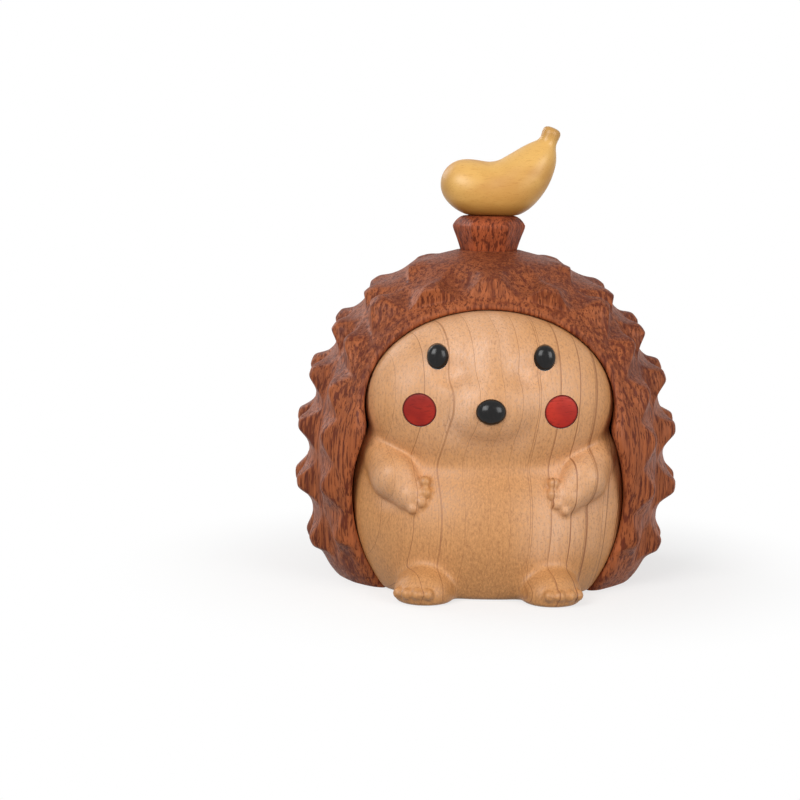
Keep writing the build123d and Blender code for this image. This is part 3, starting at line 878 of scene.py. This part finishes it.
def husk_tree(material):
    """Spines with hollow flanks and soft tips, a rolled opening edge and a crown for the stalk."""
    tree = ShapeTree("spiny_husk")
    husk = bpy.context.scene.hedgehog_husk
    body = bpy.context.scene.hedgehog_body
    fineness, softness, half_width, half_depth, rise, drop = tree.sizes(
        husk, "fineness", "softness", "half_width", "half_depth", "rise", "drop")
    height, power, hollow, top_fade, roll, set_back, crown, crown_foot = tree.sizes(
        husk, "spine_height", "squareness", "spine_hollow", "top_fade", "opening_roll", "foot_set_back",
        "crown_radius", "crown_foot_radius")
    head_width, head_height, torso_width, torso_height = tree.sizes(
        body, "head_half_width", "head_half_height", "torso_half_width", "torso_half_height")

    fine = tree.add("GeometryNodeSubdivideMesh")
    tree.feed(fine.inputs["Mesh"], tree.start.outputs["Geometry"])
    tree.feed(fine.inputs["Level"], fineness)
    mark = tree.add("GeometryNodeInputNamedAttribute", data_type="FLOAT")
    mark.inputs["Name"].default_value = "peak"
    sharp = tree.out(mark, "Attribute") ** hollow
    sanded = tree.add("GeometryNodeBlurAttribute", data_type="FLOAT")
    tree.feed(sanded.inputs["Value"], sharp)
    tree.feed(sanded.inputs["Iterations"], softness)
    keep = tree.add("GeometryNodeStoreNamedAttribute", data_type="FLOAT", domain="POINT")
    tree.feed(keep.inputs["Geometry"], fine.outputs["Mesh"])
    keep.inputs["Name"].default_value = "spine"
    tree.feed(keep.inputs["Value"], sanded.outputs["Value"])
    spine = tree.add("GeometryNodeInputNamedAttribute", data_type="FLOAT")
    spine.inputs["Name"].default_value = "spine"
    highest = tree.add("GeometryNodeAttributeStatistic", data_type="FLOAT", domain="POINT")
    tree.feed(highest.inputs["Geometry"], keep.outputs["Geometry"])
    tree.feed(highest.inputs["Attribute"], spine.outputs["Attribute"])
    share = tree.out(spine, "Attribute") / (tree.out(highest, "Max") * 0.8)
    share = share.joined(1.0, 0.25)

    place = tree.add("GeometryNodeInputPosition").outputs[0]
    away = tree.vector("NORMALIZE", tree.vector("SUBTRACT", place, HEART))
    ax, ay, az = tree.split(away)
    is_up = tree.math("GREATER_THAN", az, 0.0)
    upright = drop + is_up * (rise - drop)
    reaches = []
    near_top = tree.span(az, 0.6, 0.95) * tree.span(abs(ay), 0.5, 0.2)
    deep = height * (1.0 - top_fade * near_top)
    deep = deep * tree.span(az, -0.3, -0.55, 1.0, 1.0 - FOOT_FADE)
    for depth in (deep, 0.0):
        total = 0.0
        for part, half in ((ax, half_width), (ay, half_depth), (az, upright)):
            inset = half - depth
            term = (abs(part) / inset) ** power
            total = total + term
        reaches.append(total ** (-1.0 / power))
    valley, tip = reaches
    reach = valley + share * (tip - valley)
    knife = tree.add("ShaderNodeTexNoise")
    tree.feed(knife.inputs["Vector"], place)
    knife.inputs["Scale"].default_value = 0.16
    knife.inputs["Detail"].default_value = 1.0
    uneven = (tree.out(knife, "Fac") - 0.5) * 0.7
    uneven = uneven * (1.0 - share)
    reach = reach + uneven
    carved = tree.vector("ADD", tree.times(away, reach), HEART)

    x, y, z = tree.split(carved)
    low = tree.span(z, 17.0, -1.0) * tree.span(y, -6.0, -22.0)
    y = y + low * set_back
    head = oval_distance(tree, x, z, head_width, head_height, HEAD_Z)
    torso = oval_distance(tree, x, z, torso_width, torso_height, TORSO_Z)
    opening = head.joined(torso, 2.5).at_least(0.0)
    inside = (roll - opening).at_least(0.0)
    flank = tree.math("SQRT", (roll * roll - inside * inside).at_least(0.0))
    sink = (roll - flank) * tree.math("LESS_THAN", y, 0.0)
    y = y + sink
    out = tree.vector("LENGTH", tree.join(x, y - HEART.y, 0.0))
    fall = (out - crown).at_least(0.0) * CROWN_SLOPE
    lift = CROWN_Z - fall - z
    near = tree.span(out, crown_foot, crown_foot - 7.0) * tree.math("GREATER_THAN", z, 40.0)
    z = z + near * lift.at_least(0.0)
    place_at = tree.add("GeometryNodeSetPosition")
    tree.feed(place_at.inputs["Geometry"], keep.outputs["Geometry"])
    tree.feed(place_at.inputs["Position"], tree.join(x, y, z))
    tree.finish(place_at.outputs["Geometry"], material)
    return tree


def egg(tree, offset, radii):
    """Distance from an egg-shaped form, from the offset to its middle and its half sizes."""
    near_by = tree.vector("DIVIDE", offset, radii)
    near = tree.vector("LENGTH", near_by)
    steep = tree.vector("LENGTH", tree.vector("DIVIDE", near_by, radii)).at_least(0.001)
    return near * (near - 1.0) / steep


def ball(tree, spot, middle, radius):
    """Distance from a ball."""
    return tree.vector("DISTANCE", spot, middle) - radius


def limb(tree, spot, start, end, start_radius, end_radius):
    """Distance from a tapered limb between two points."""
    run = Vector(end) - Vector(start)
    from_start = tree.vector("SUBTRACT", spot, start)
    share = tree.vector("DOT_PRODUCT", from_start, run) / run.length_squared
    share = share.at_least(0.0).at_most(1.0)
    from_line = tree.vector("DISTANCE", from_start, tree.times(run, share))
    radius = start_radius + share * (end_radius - start_radius)
    return from_line - radius


def body_tree(material):
    """Head, torso, belly, arms and feet, run together as one carved block."""
    tree = ShapeTree("carved_body")
    sizes = bpy.context.scene.hedgehog_body
    fineness, head_width, head_height, head_bulge = tree.sizes(
        sizes, "fineness", "head_half_width", "head_half_height", "head_bulge")
    torso_width, torso_height, torso_bulge, belly_width, belly_bulge = tree.sizes(
        sizes, "torso_half_width", "torso_half_height", "torso_bulge", "belly_half_width", "belly_bulge")
    thick = tree.sizes(sizes, "arm_thickness", "paw_thickness", "finger_thickness", "toe_thickness")
    arm, paw, finger, toe = [size / 2.0 for size in thick]

    place = tree.add("GeometryNodeInputPosition").outputs[0]
    x, y, z = tree.split(place)
    side = abs(x)
    spot = tree.join(side, y, z)
    before = (y - FACE_PLANE_Y).at_most(0.0)

    over_chin = z - HEAD_Z
    under = over_chin.at_most(0.0) * 0.09
    head = (egg(tree, tree.join(x, before, over_chin + under), tree.join(head_width, head_bulge,
            head_height)))
    hollow = egg(tree, tree.vector("SUBTRACT", spot, (8.0, -29.9, 44.4)), (5.0, 3.0, 4.6))
    head = head.cut(hollow * -1.0, 1.4)
    bridge = limb(tree, spot, (0.0, -24.0, 47.5), (0.0, -26.0, 40.0), 3.2, 3.9)
    head = head.joined(bridge, 2.4)
    snout = egg(tree, tree.vector("SUBTRACT", place, (0.0, -27.5, 36.4)), (8.4, 4.2, 6.0))
    head = head.joined(snout, 3.2)
    torso = egg(tree, tree.join(x, before, z - TORSO_Z), tree.join(torso_width, torso_bulge, torso_height))
    belly = egg(tree, tree.vector("SUBTRACT", place, (0.0, FACE_PLANE_Y, BELLY_Z)),
                tree.join(belly_width, belly_bulge, 18.0))
    torso = torso.joined(belly, 4.0)

    arms = limb(tree, spot, SHOULDER, ELBOW, arm * 0.84, arm)
    forearm = limb(tree, spot, ELBOW, WRIST, arm, paw)
    arms = arms.joined(forearm, 1.0)
    for knuckle in KNUCKLES:
        arms = arms.joined(ball(tree, spot, knuckle, finger), 0.35)
    outline = (oval_distance(tree, x, z, head_width, head_height, HEAD_Z).at_most(oval_distance(tree, x,
            z, torso_width, torso_height, TORSO_Z)))
    arms = arms.at_least(outline)
    foot = egg(tree, tree.vector("SUBTRACT", spot, (11.9, -29.2, 1.6)), (5.7, 6.3, 4.8))
    for middle in TOES:
        foot = foot.joined(ball(tree, spot, middle, toe), 0.35)

    whole = torso.joined(arms, 0.8)
    whole = whole.joined(foot, 3.0)
    fillet = tree.span(side, 5.0, 16.0, 4.2, 0.9) + tree.span(side, 20.5, 23.5, 0.0, 0.4)
    whole = head.joined(whole, fillet)
    whole = whole.cut(z * -1.0, 1.2)
    whole = whole.at_least(y - POCKET_FLOOR_Y)
    skin = as_carving(tree, whole, Vector((-28.0, -38.0, -2.0)), Vector((28.0, 8.0, 56.0)), fineness)
    tree.finish(skin, material)
    return tree


def as_carving(tree, form, low, high, fineness):
    """Skin of a form given by its distance field, inside a block."""
    block = tree.add("GeometryNodeVolumeCube")
    tree.feed(block.inputs["Density"], 1.0 - form)
    block.inputs["Background"].default_value = 0.0
    block.inputs["Min"].default_value = low
    block.inputs["Max"].default_value = high
    for axis, name in enumerate(("Resolution X", "Resolution Y", "Resolution Z")):
        steps = (high[axis] - low[axis]) / fineness
        tree.feed(block.inputs[name], tree.math("ROUND", steps))
    skin = tree.add("GeometryNodeVolumeToMesh", resolution_mode="GRID")
    tree.feed(skin.inputs["Volume"], block.outputs["Volume"])
    skin.inputs["Threshold"].default_value = 1.0
    skin.inputs["Adaptivity"].default_value = 0.0
    return skin.outputs["Mesh"]


def fair_line(points, parts):
    """Smooth line through points, with each stretch cut into parts."""
    spots = [Vector(point) for point in points]
    line = [spots[0]]
    for index in range(len(spots) - 1):
        before, one = spots[max(index - 1, 0)], spots[index]
        other, after = spots[index + 1], spots[min(index + 2, len(spots) - 1)]
        for part in range(1, parts + 1):
            t = part / parts
            line.append(0.5 * (2 * one + (other - before) * t
                               + (2 * before - 5 * one + 4 * other - after) * t ** 2
                               + (3 * one - before - 3 * other + after) * t ** 3))
    return line


def banana_tree(material):
    """Banana along its bent middle line, thick in the middle and thin at the cut stem."""
    tree = ShapeTree("banana")
    (fineness,) = tree.sizes(bpy.context.scene.hedgehog_crown, "banana_fineness")
    place = tree.add("GeometryNodeInputPosition").outputs[0]
    line = fair_line(BANANA_LINE, 4)
    whole = None
    for one, other in zip(line, line[1:]):
        start = (one[0], HEART.y, STALK_TOP_Z + one[1])
        end = (other[0], HEART.y, STALK_TOP_Z + other[1])
        part = limb(tree, place, start, end, one[2], other[2])
        whole = part if whole is None else whole.joined(part, BANANA_EASE)
    tip = Vector((BANANA_LINE[-1][0], HEART.y, STALK_TOP_Z + BANANA_STEM_END))
    along = Vector((0.38, 0.0, 0.92)).normalized()
    beyond = tree.vector("DOT_PRODUCT", tree.vector("SUBTRACT", place, tip), along)
    whole = whole.cut(beyond, 2.0)
    x, y, z = tree.split(place)
    whole = whole.cut(STALK_TOP_Z - z, 0.4)
    low = Vector((-11.0, -7.0, STALK_TOP_Z - 1.0))
    high = Vector((18.0, 9.0, STALK_TOP_Z + 20.0))
    rubbed = tree.add("GeometryNodeBlurAttribute", data_type="FLOAT_VECTOR")
    tree.feed(rubbed.inputs["Value"], place)
    rubbed.inputs["Iterations"].default_value = 16
    place_at = tree.add("GeometryNodeSetPosition")
    tree.feed(place_at.inputs["Geometry"], as_carving(tree, whole, low, high, fineness))
    tree.feed(place_at.inputs["Position"], rubbed.outputs["Value"])
    tree.finish(place_at.outputs["Geometry"], material)
    return tree


class HEDGEHOG_OT_husk(bpy.types.Operator):
    """Carve the spiny husk with its pocket for the body"""

    bl_idname = "hedgehog.husk"
    bl_label = "Carve husk"

    def execute(self, context):
        sizes = context.scene.hedgehog_husk
        body = context.scene.hedgehog_body
        crown = context.scene.hedgehog_crown
        paint = context.scene.hedgehog_colours
        wood = husk_wood("husk_wood", list(paint.husk), list(paint.husk_dark), 0.3, 0.16)
        husk = grow("husk", husk_lattice(), husk_tree(wood))
        pocket = bmesh.new()
        ovals = ((body.head_half_width / MM, body.head_half_height / MM, HEAD_Z),
                 (body.torso_half_width / MM, body.torso_half_height / MM, TORSO_Z))
        pocket_bar(pocket, ovals, sizes.seam / MM, -70.0, POCKET_FLOOR_Y)
        carve(husk, mesh_from("pocket", pocket))
        holes = bmesh.new()
        dowel = (crown.dowel_width / 2 + crown.fit) / MM
        for height in DOWEL_HEIGHTS:
            oval_bar(holes, dowel, dowel, -20.0, POCKET_FLOOR_Y + DOWEL_LENGTH / 2, 0.0, height, 40)
        round_bar(holes, (crown.tenon_width / 2 + crown.fit) / MM, CROWN_Z - crown.tenon_length / MM,
                  CROWN_Z + 30.0)
        carve(husk, mesh_from("holes", holes))
        saw_off(husk, 0.0)
        crisp(husk)
        settle(husk, "figure", ["shell"])
        return {"FINISHED"}


class HEDGEHOG_OT_body(bpy.types.Operator):
    """Carve the body with its head, belly, arms and feet"""

    bl_idname = "hedgehog.body"
    bl_label = "Carve body"

    def execute(self, context):
        inlay = context.scene.hedgehog_inlays
        crown = context.scene.hedgehog_crown
        blank = bpy.data.meshes.new("body_blank")
        body = grow("body_carving", blank, body_tree(body_wood()))
        cuts = bmesh.new()
        fit = crown.fit / MM
        for side in (-1, 1):
            oval_bar(cuts, inlay.eye_width / MM / 2 + fit, inlay.eye_height / MM / 2 + fit, -60.0,
                     face_y(EYE_X, EYE_Z) + INLAY_DEPTH, side * EYE_X, EYE_Z, 64)
            plug = inlay.cheek_width / MM / 2 + fit
            oval_bar(cuts, plug, plug, -60.0, face_y(CHEEK_X, CHEEK_Z) + INLAY_DEPTH, side * CHEEK_X, CHEEK_Z,
                     64)
        oval_bar(cuts, inlay.nose_width / MM / 2 + fit, inlay.nose_height / MM / 2 + fit, -60.0,
                 nose_y() + INLAY_DEPTH, 0.0, NOSE_Z, 64)
        dowel = crown.dowel_width / MM / 2 + fit
        for height in DOWEL_HEIGHTS:
            oval_bar(cuts, dowel, dowel, POCKET_FLOOR_Y - DOWEL_LENGTH / 2, 30.0, 0.0, height, 40)
        carve(body, mesh_from("body_cuts", cuts))
        crisp(body, 50)
        settle(body, "figure", ["body"])
        return {"FINISHED"}


def nose_y():
    """Depth of the front of the snout, where the nose is set."""
    return face_y(0.0, SNOUT_Z) - SNOUT_REACH


def add_bead(form, half_width, half_height, dome, front, x, z):
    """Oval bead along Y with a domed front and an eased back edge."""
    back = front + INLAY_DEPTH
    profile = [(0.92, back), (1.0, back - 0.3), (1.0, front)]
    for step in range(1, 13):
        turn = pi / 2 * step / 13
        profile.append((cos(turn), front - dome * sin(turn)))
    rings = []
    for reach, y in profile:
        points = oval(half_width * reach, half_height * reach, BEAD_STEPS)
        rings.append([(x + across, y, z + up) for across, up in points])
    rings.append([(x, front - dome, z)])
    add_rings(form, rings)


class HEDGEHOG_OT_beads(bpy.types.Operator):
    """Set the black beads for the eyes and the nose"""

    bl_idname = "hedgehog.beads"
    bl_label = "Set eyes and nose"

    def execute(self, context):
        sizes = context.scene.hedgehog_inlays
        black = bead_black()
        eye = (sizes.eye_width / MM / 2, sizes.eye_height / MM / 2, sizes.eye_dome / MM)
        nose = (sizes.nose_width / MM / 2, sizes.nose_height / MM / 2, sizes.nose_dome / MM)
        eye_front = face_y(EYE_X, EYE_Z)
        for name, shape, front, x, z in (("eye_left", eye, eye_front, -EYE_X, EYE_Z),
                                         ("eye_right", eye, eye_front, EYE_X, EYE_Z),
                                         ("nose", nose, nose_y(), 0.0, NOSE_Z)):
            form = bmesh.new()
            add_bead(form, *shape, front, x, z)
            bead = new_piece(name + "_bead", mesh_from(name + "_bead", form))
            bead.data.materials.append(black)
            crisp(bead, 50)
            settle(bead, "figure", [name])
        return {"FINISHED"}


class HEDGEHOG_OT_cheeks(bpy.types.Operator):
    """Set the round red plugs of the cheeks, flush with the face"""

    bl_idname = "hedgehog.cheeks"
    bl_label = "Set cheeks"

    def execute(self, context):
        sizes = context.scene.hedgehog_inlays
        red = cheek_wood()
        radius = sizes.cheek_width / MM / 2
        steps = 64
        for name, x in (("cheek_left", -CHEEK_X), ("cheek_right", CHEEK_X)):
            back = face_y(CHEEK_X, CHEEK_Z) + INLAY_DEPTH
            form = bmesh.new()

            def ring(reach, sink=None):
                points = []
                for step in range(steps):
                    across = x + reach * cos(tau * step / steps)
                    up = CHEEK_Z + reach * sin(tau * step / steps)
                    points.append((across, back if sink is None else face_y(across, up) + sink, up))
                return points

            rings = [ring(radius * 0.94), [(a, b - 0.4, c) for a, b, c in ring(radius)]]
            rings += [ring(radius, 0.25), ring(radius * 0.985, 0.06), ring(radius * 0.955, -0.03)]
            for share in (0.9, 0.75, 0.6, 0.45, 0.3, 0.15):
                rings.append(ring(radius * share, -0.05))
            rings.append([(x, face_y(x, CHEEK_Z) - 0.05, CHEEK_Z)])
            add_rings(form, rings)
            plug = new_piece(name + "_plug", mesh_from(name + "_plug", form))
            plug.data.materials.append(red)
            crisp(plug, 50)
            settle(plug, "figure", [name])
        return {"FINISHED"}


def six_sides(radius, corner, z):
    """Six-sided outline round the stalk's middle line, with rounded corners."""
    spots = []
    middle = radius - corner / cos(pi / 6)
    for side in range(6):
        turn = tau * side / 6
        for step in range(-3, 4):
            bend = turn + radians(10) * step
            spots.append(Vector((middle * cos(turn) + corner * cos(bend),
                                 middle * sin(turn) + corner * sin(bend))))
    outline = []
    for index, spot in enumerate(spots):
        outline.append((spot.x, HEART.y + spot.y, z))
        if index % 7 == 6:
            after = spots[(index + 1) % len(spots)]
            for share in (0.12, 0.5, 0.88):
                along = spot.lerp(after, share)
                outline.append((along.x, HEART.y + along.y, z))
    return outline


class HEDGEHOG_OT_stalk(bpy.types.Operator):
    """Cut the six-sided flared stalk with its round tenon"""

    bl_idname = "hedgehog.stalk"
    bl_label = "Cut stalk"

    def execute(self, context):
        sizes = context.scene.hedgehog_crown
        paint = context.scene.hedgehog_colours
        form = bmesh.new()
        foot, rim, top = sizes.stalk_foot / MM, sizes.stalk_rim / MM, sizes.stalk_top / MM
        widest, tall = sizes.stalk_rim_height / MM, STALK_TOP_Z - CROWN_Z
        profile = []
        for share in (0.0, 0.2, 0.4, 0.6, 0.8):
            profile.append((widest * share, foot + (rim + 0.2 - foot) * (0.75 * share + 0.25 * share ** 2)))
        profile.append((widest * 0.91, rim - 0.06))
        for step in range(8):
            turn = pi / 2 * step / 7
            inward = 0.68 * (1 - cos(turn)) + 0.32 * sin(turn)
            profile.append((widest + (tall - widest) * sin(turn), rim + (top - rim) * inward))
        corner = sizes.stalk_corner / MM
        add_rings(form, [six_sides(radius, corner, CROWN_Z + height) for height, radius in profile])
        wood = husk_wood("stalk_wood", list(paint.stalk), list(paint.husk_dark), 0.3, 0.2)
        stalk = new_piece("stalk_block", mesh_from("stalk_block", form))
        stalk.data.materials.append(wood)
        tenon = bmesh.new()
        round_bar(tenon, sizes.tenon_width / MM / 2, CROWN_Z - sizes.tenon_length / MM, CROWN_Z + 1.5)
        carve(stalk, mesh_from("tenon", tenon), "UNION")
        hole = bmesh.new()
        round_bar(hole, (sizes.peg_width / 2 + sizes.fit) / MM, STALK_TOP_Z - sizes.peg_length / MM / 2 - 0.2,
                  STALK_TOP_Z + 20.0, 48)
        carve(stalk, mesh_from("peg_hole", hole))
        stalk.data.materials.clear()
        stalk.data.materials.append(wood)
        for face in stalk.data.polygons:
            face.material_index = 0
        crisp(stalk, 32)
        settle(stalk, "figure", ["stalk"])
        return {"FINISHED"}


class HEDGEHOG_OT_banana(bpy.types.Operator):
    """Shape the banana that sits on the stalk"""

    bl_idname = "hedgehog.banana"
    bl_label = "Shape banana"

    def execute(self, context):
        sizes = context.scene.hedgehog_crown
        blank = bpy.data.meshes.new("banana_blank")
        banana = grow("banana_carving", blank, banana_tree(banana_wood()))
        hole = bmesh.new()
        round_bar(hole, (sizes.peg_width / 2 + sizes.fit) / MM, STALK_TOP_Z - 5.0,
                  STALK_TOP_Z + sizes.peg_length / MM / 2 + 0.2, 48)
        carve(banana, mesh_from("peg_hole", hole))
        crisp(banana, 65)
        settle(banana, "fruit", ["banana"])
        return {"FINISHED"}


class HEDGEHOG_OT_pins(bpy.types.Operator):
    """Turn the banana's peg and the two dowels, with glue grooves and eased ends"""

    bl_idname = "hedgehog.pins"
    bl_label = "Turn pins"

    def execute(self, context):
        sizes = context.scene.hedgehog_crown
        wood = pin_wood()
        groove = sizes.pin_groove / MM
        upright = (Vector((0, 0, 1)), Vector((1, 0, 0)), Vector((0, 1, 0)))
        level = (Vector((0, 1, 0)), Vector((1, 0, 0)), Vector((0, 0, -1)))
        peg_foot = Vector((0, HEART.y, STALK_TOP_Z - sizes.peg_length / MM / 2))
        pins = [("banana_peg", "peg", peg_foot, upright, sizes.peg_width / MM / 2, sizes.peg_length / MM)]
        for name, height in zip(("dowel_upper", "dowel_lower"), DOWEL_HEIGHTS):
            foot = Vector((0, POCKET_FLOOR_Y - DOWEL_LENGTH / 2, height))
            pins.append((name, "figure", foot, level, sizes.dowel_width / MM / 2, DOWEL_LENGTH))
        for name, body, foot, (ahead, across, up), radius, reach in pins:
            steps = 96
            rings = []
            for far, inset in ((0.0, 0.55), (0.25, 0.2), (0.6, 0.0), (reach - 0.6, 0.0), (reach - 0.25, 0.2),
                               (reach, 0.55)):
                points = []
                for step in range(steps):
                    turn = tau * step / steps
                    flute = groove * max(0.0, cos(turn * 12)) ** 2
                    out = min(radius - inset, radius - flute)
                    points.append(foot + ahead * far + across * out * cos(turn) + up * out * sin(turn))
                rings.append(points)
            form = bmesh.new()
            add_rings(form, rings)
            pin = new_piece(name + "_pin", mesh_from(name + "_pin", form))
            pin.data.materials.append(wood)
            crisp(pin, 30)
            settle(pin, body, [name])
        return {"FINISHED"}


class HEDGEHOG_OT_stage(bpy.types.Operator):
    """Lay the floor, hang the lights and place the camera"""

    bl_idname = "hedgehog.stage"
    bl_label = "Set stage"

    def execute(self, context):
        scene = context.scene
        scene.view_settings.view_transform = "Standard"
        self.lay_floor(scene)
        self.light_world(scene)
        self.hang_lights(scene)
        lens = bpy.data.cameras.new("camera")
        lens.sensor_width = 36.0
        lens.lens = CAMERA_LENS
        lens.clip_start = 0.01
        camera = bpy.data.objects.new("camera", lens)
        camera.location = CAMERA_PLACE
        lean = Matrix.Rotation(radians(CAMERA_LEAN), 3, "Z")
        dip = Matrix.Rotation(radians(90 - CAMERA_DIP), 3, "X")
        turn = Matrix.Rotation(radians(CAMERA_TURN), 3, "Z")
        camera.rotation_euler = (turn @ dip @ lean).to_euler()
        scene.collection.objects.link(camera)
        scene.camera = camera
        return {"FINISHED"}

    def lay_floor(self, scene):
        """Paper floor that turns white away from the figurine."""
        paint = scene.hedgehog_colours
        form = bmesh.new()
        steps = 96
        rings = [[(0.0, 0.0, FLOOR_Z)]]
        for reach in FLOOR_RINGS:
            rings.append([(x, y, FLOOR_Z) for x, y in oval(reach, reach, steps)])
        rows = [[form.verts.new(point) for point in ring] for ring in rings]
        for lower, upper in zip(rows, rows[1:]):
            for index in range(steps):
                after = (index + 1) % steps
                corners = [upper[index], upper[after], lower[after % len(lower)], lower[index % len(lower)]]
                form.faces.new(list(dict.fromkeys(corners)))
        mesh = bpy.data.meshes.new("studio_floor")
        form.normal_update()
        form.to_mesh(mesh)
        form.free()
        mesh.transform(Matrix.Scale(MM, 4))
        if mesh.polygons[0].normal.z < 0:
            mesh.flip_normals()
        floor = new_piece("studio_floor", mesh)
        cover = WoodTree("studio_paper")
        grain = cover.noise(cover.stretched(0.2, 0.2, 0.2), 1.0, 2.0)
        seen = cover.seen()
        tone = cover.blend(cover.span(grain, 0.3, 0.7, 0.0, 0.1), paint.floor, tinted(paint.floor, 0.96))
        tone = cover.blend(seen, tinted(paint.floor, 0.2), tone)
        cover.feed(cover.shader.inputs["Base Color"], tone)
        cover.shader.inputs["Roughness"].default_value = 0.9
        cover.shader.inputs["Specular IOR Level"].default_value = 0.1
        x, y, z = cover.split(cover.place)
        far = cover.span(cover.vector("LENGTH", cover.join(x, y, 0.0)), 34.0, 80.0, 0.68, 1.0)
        cover.white_over("ShaderNodeEmission", far * seen, cover.shader, "Material Output")
        mesh.materials.append(cover.material)

    def light_world(self, scene):
        """Soft light all round, seen as pure white."""
        world = bpy.data.worlds.new("studio")
        world.use_nodes = True
        scene.world = world
        sky = Tree(world.node_tree)
        dim = world.node_tree.nodes["Background"]
        dim.inputs["Color"].default_value = (1.0, 0.99, 0.97, 1.0)
        way = sky.add("ShaderNodeTexCoord").outputs["Generated"]
        across, along, up = sky.split(way)
        sky.feed(dim.inputs["Strength"], sky.span(up, -0.2, 0.9, 0.12, 0.34))
        sky.white_over("ShaderNodeBackground", sky.seen(), dim, "World Output")

    def hang_lights(self, scene):
        """Area lights aimed at the middle of the figurine."""
        aim = Vector((0.0, 0.0, 0.035))
        for name, spot, size, power in LIGHTS:
            lamp = bpy.data.lights.new(name, "AREA")
            lamp.size = size
            lamp.energy = power
            light = bpy.data.objects.new(name, lamp)
            light.location = spot
            light.rotation_euler = (aim - Vector(spot)).to_track_quat("-Z", "Y").to_euler()
            scene.collection.objects.link(light)


class HEDGEHOG_PT_panel(bpy.types.Panel):
    """Sizes, colours and steps of the hedgehog"""

    bl_idname = "HEDGEHOG_PT_panel"
    bl_label = "Hedgehog figurine"
    bl_space_type = "VIEW_3D"
    bl_region_type = "UI"
    bl_category = "Hedgehog"

    def draw(self, context):
        layout = self.layout
        for step in STEPS:
            layout.operator(step.bl_idname)
        for title, group in GROUPS:
            box = layout.box()
            box.label(text=title)
            holder = getattr(context.scene, group)
            for name in holder.bl_rna.properties.keys():
                if name not in ("rna_type", "name"):
                    box.prop(holder, name, text=name.replace("_", " ").capitalize())


STEPS = (HEDGEHOG_OT_husk, HEDGEHOG_OT_body, HEDGEHOG_OT_beads, HEDGEHOG_OT_cheeks, HEDGEHOG_OT_stalk,
         HEDGEHOG_OT_banana, HEDGEHOG_OT_pins, HEDGEHOG_OT_stage)
GROUPS = (("Husk", "hedgehog_husk"), ("Body", "hedgehog_body"), ("Inlays", "hedgehog_inlays"),
          ("Crown", "hedgehog_crown"), ("Colours", "hedgehog_colours"))
SETTINGS = (HuskSizes, BodySizes, InlaySizes, CrownSizes, Colours)


def register():
    for kind in SETTINGS + STEPS + (HEDGEHOG_PT_panel,):
        bpy.utils.register_class(kind)
    for (title, group), kind in zip(GROUPS, SETTINGS):
        setattr(bpy.types.Scene, group, PointerProperty(type=kind))


def unregister():
    for title, group in GROUPS:
        delattr(bpy.types.Scene, group)
    for kind in reversed(SETTINGS + STEPS + (HEDGEHOG_PT_panel,)):
        bpy.utils.unregister_class(kind)


def main():
    register()
    bpy.ops.hedgehog.husk()
    bpy.ops.hedgehog.body()
    bpy.ops.hedgehog.beads()
    bpy.ops.hedgehog.cheeks()
    bpy.ops.hedgehog.stalk()
    bpy.ops.hedgehog.banana()
    bpy.ops.hedgehog.pins()
    bpy.ops.hedgehog.stage()
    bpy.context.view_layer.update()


if __name__ == "__main__":
    main()
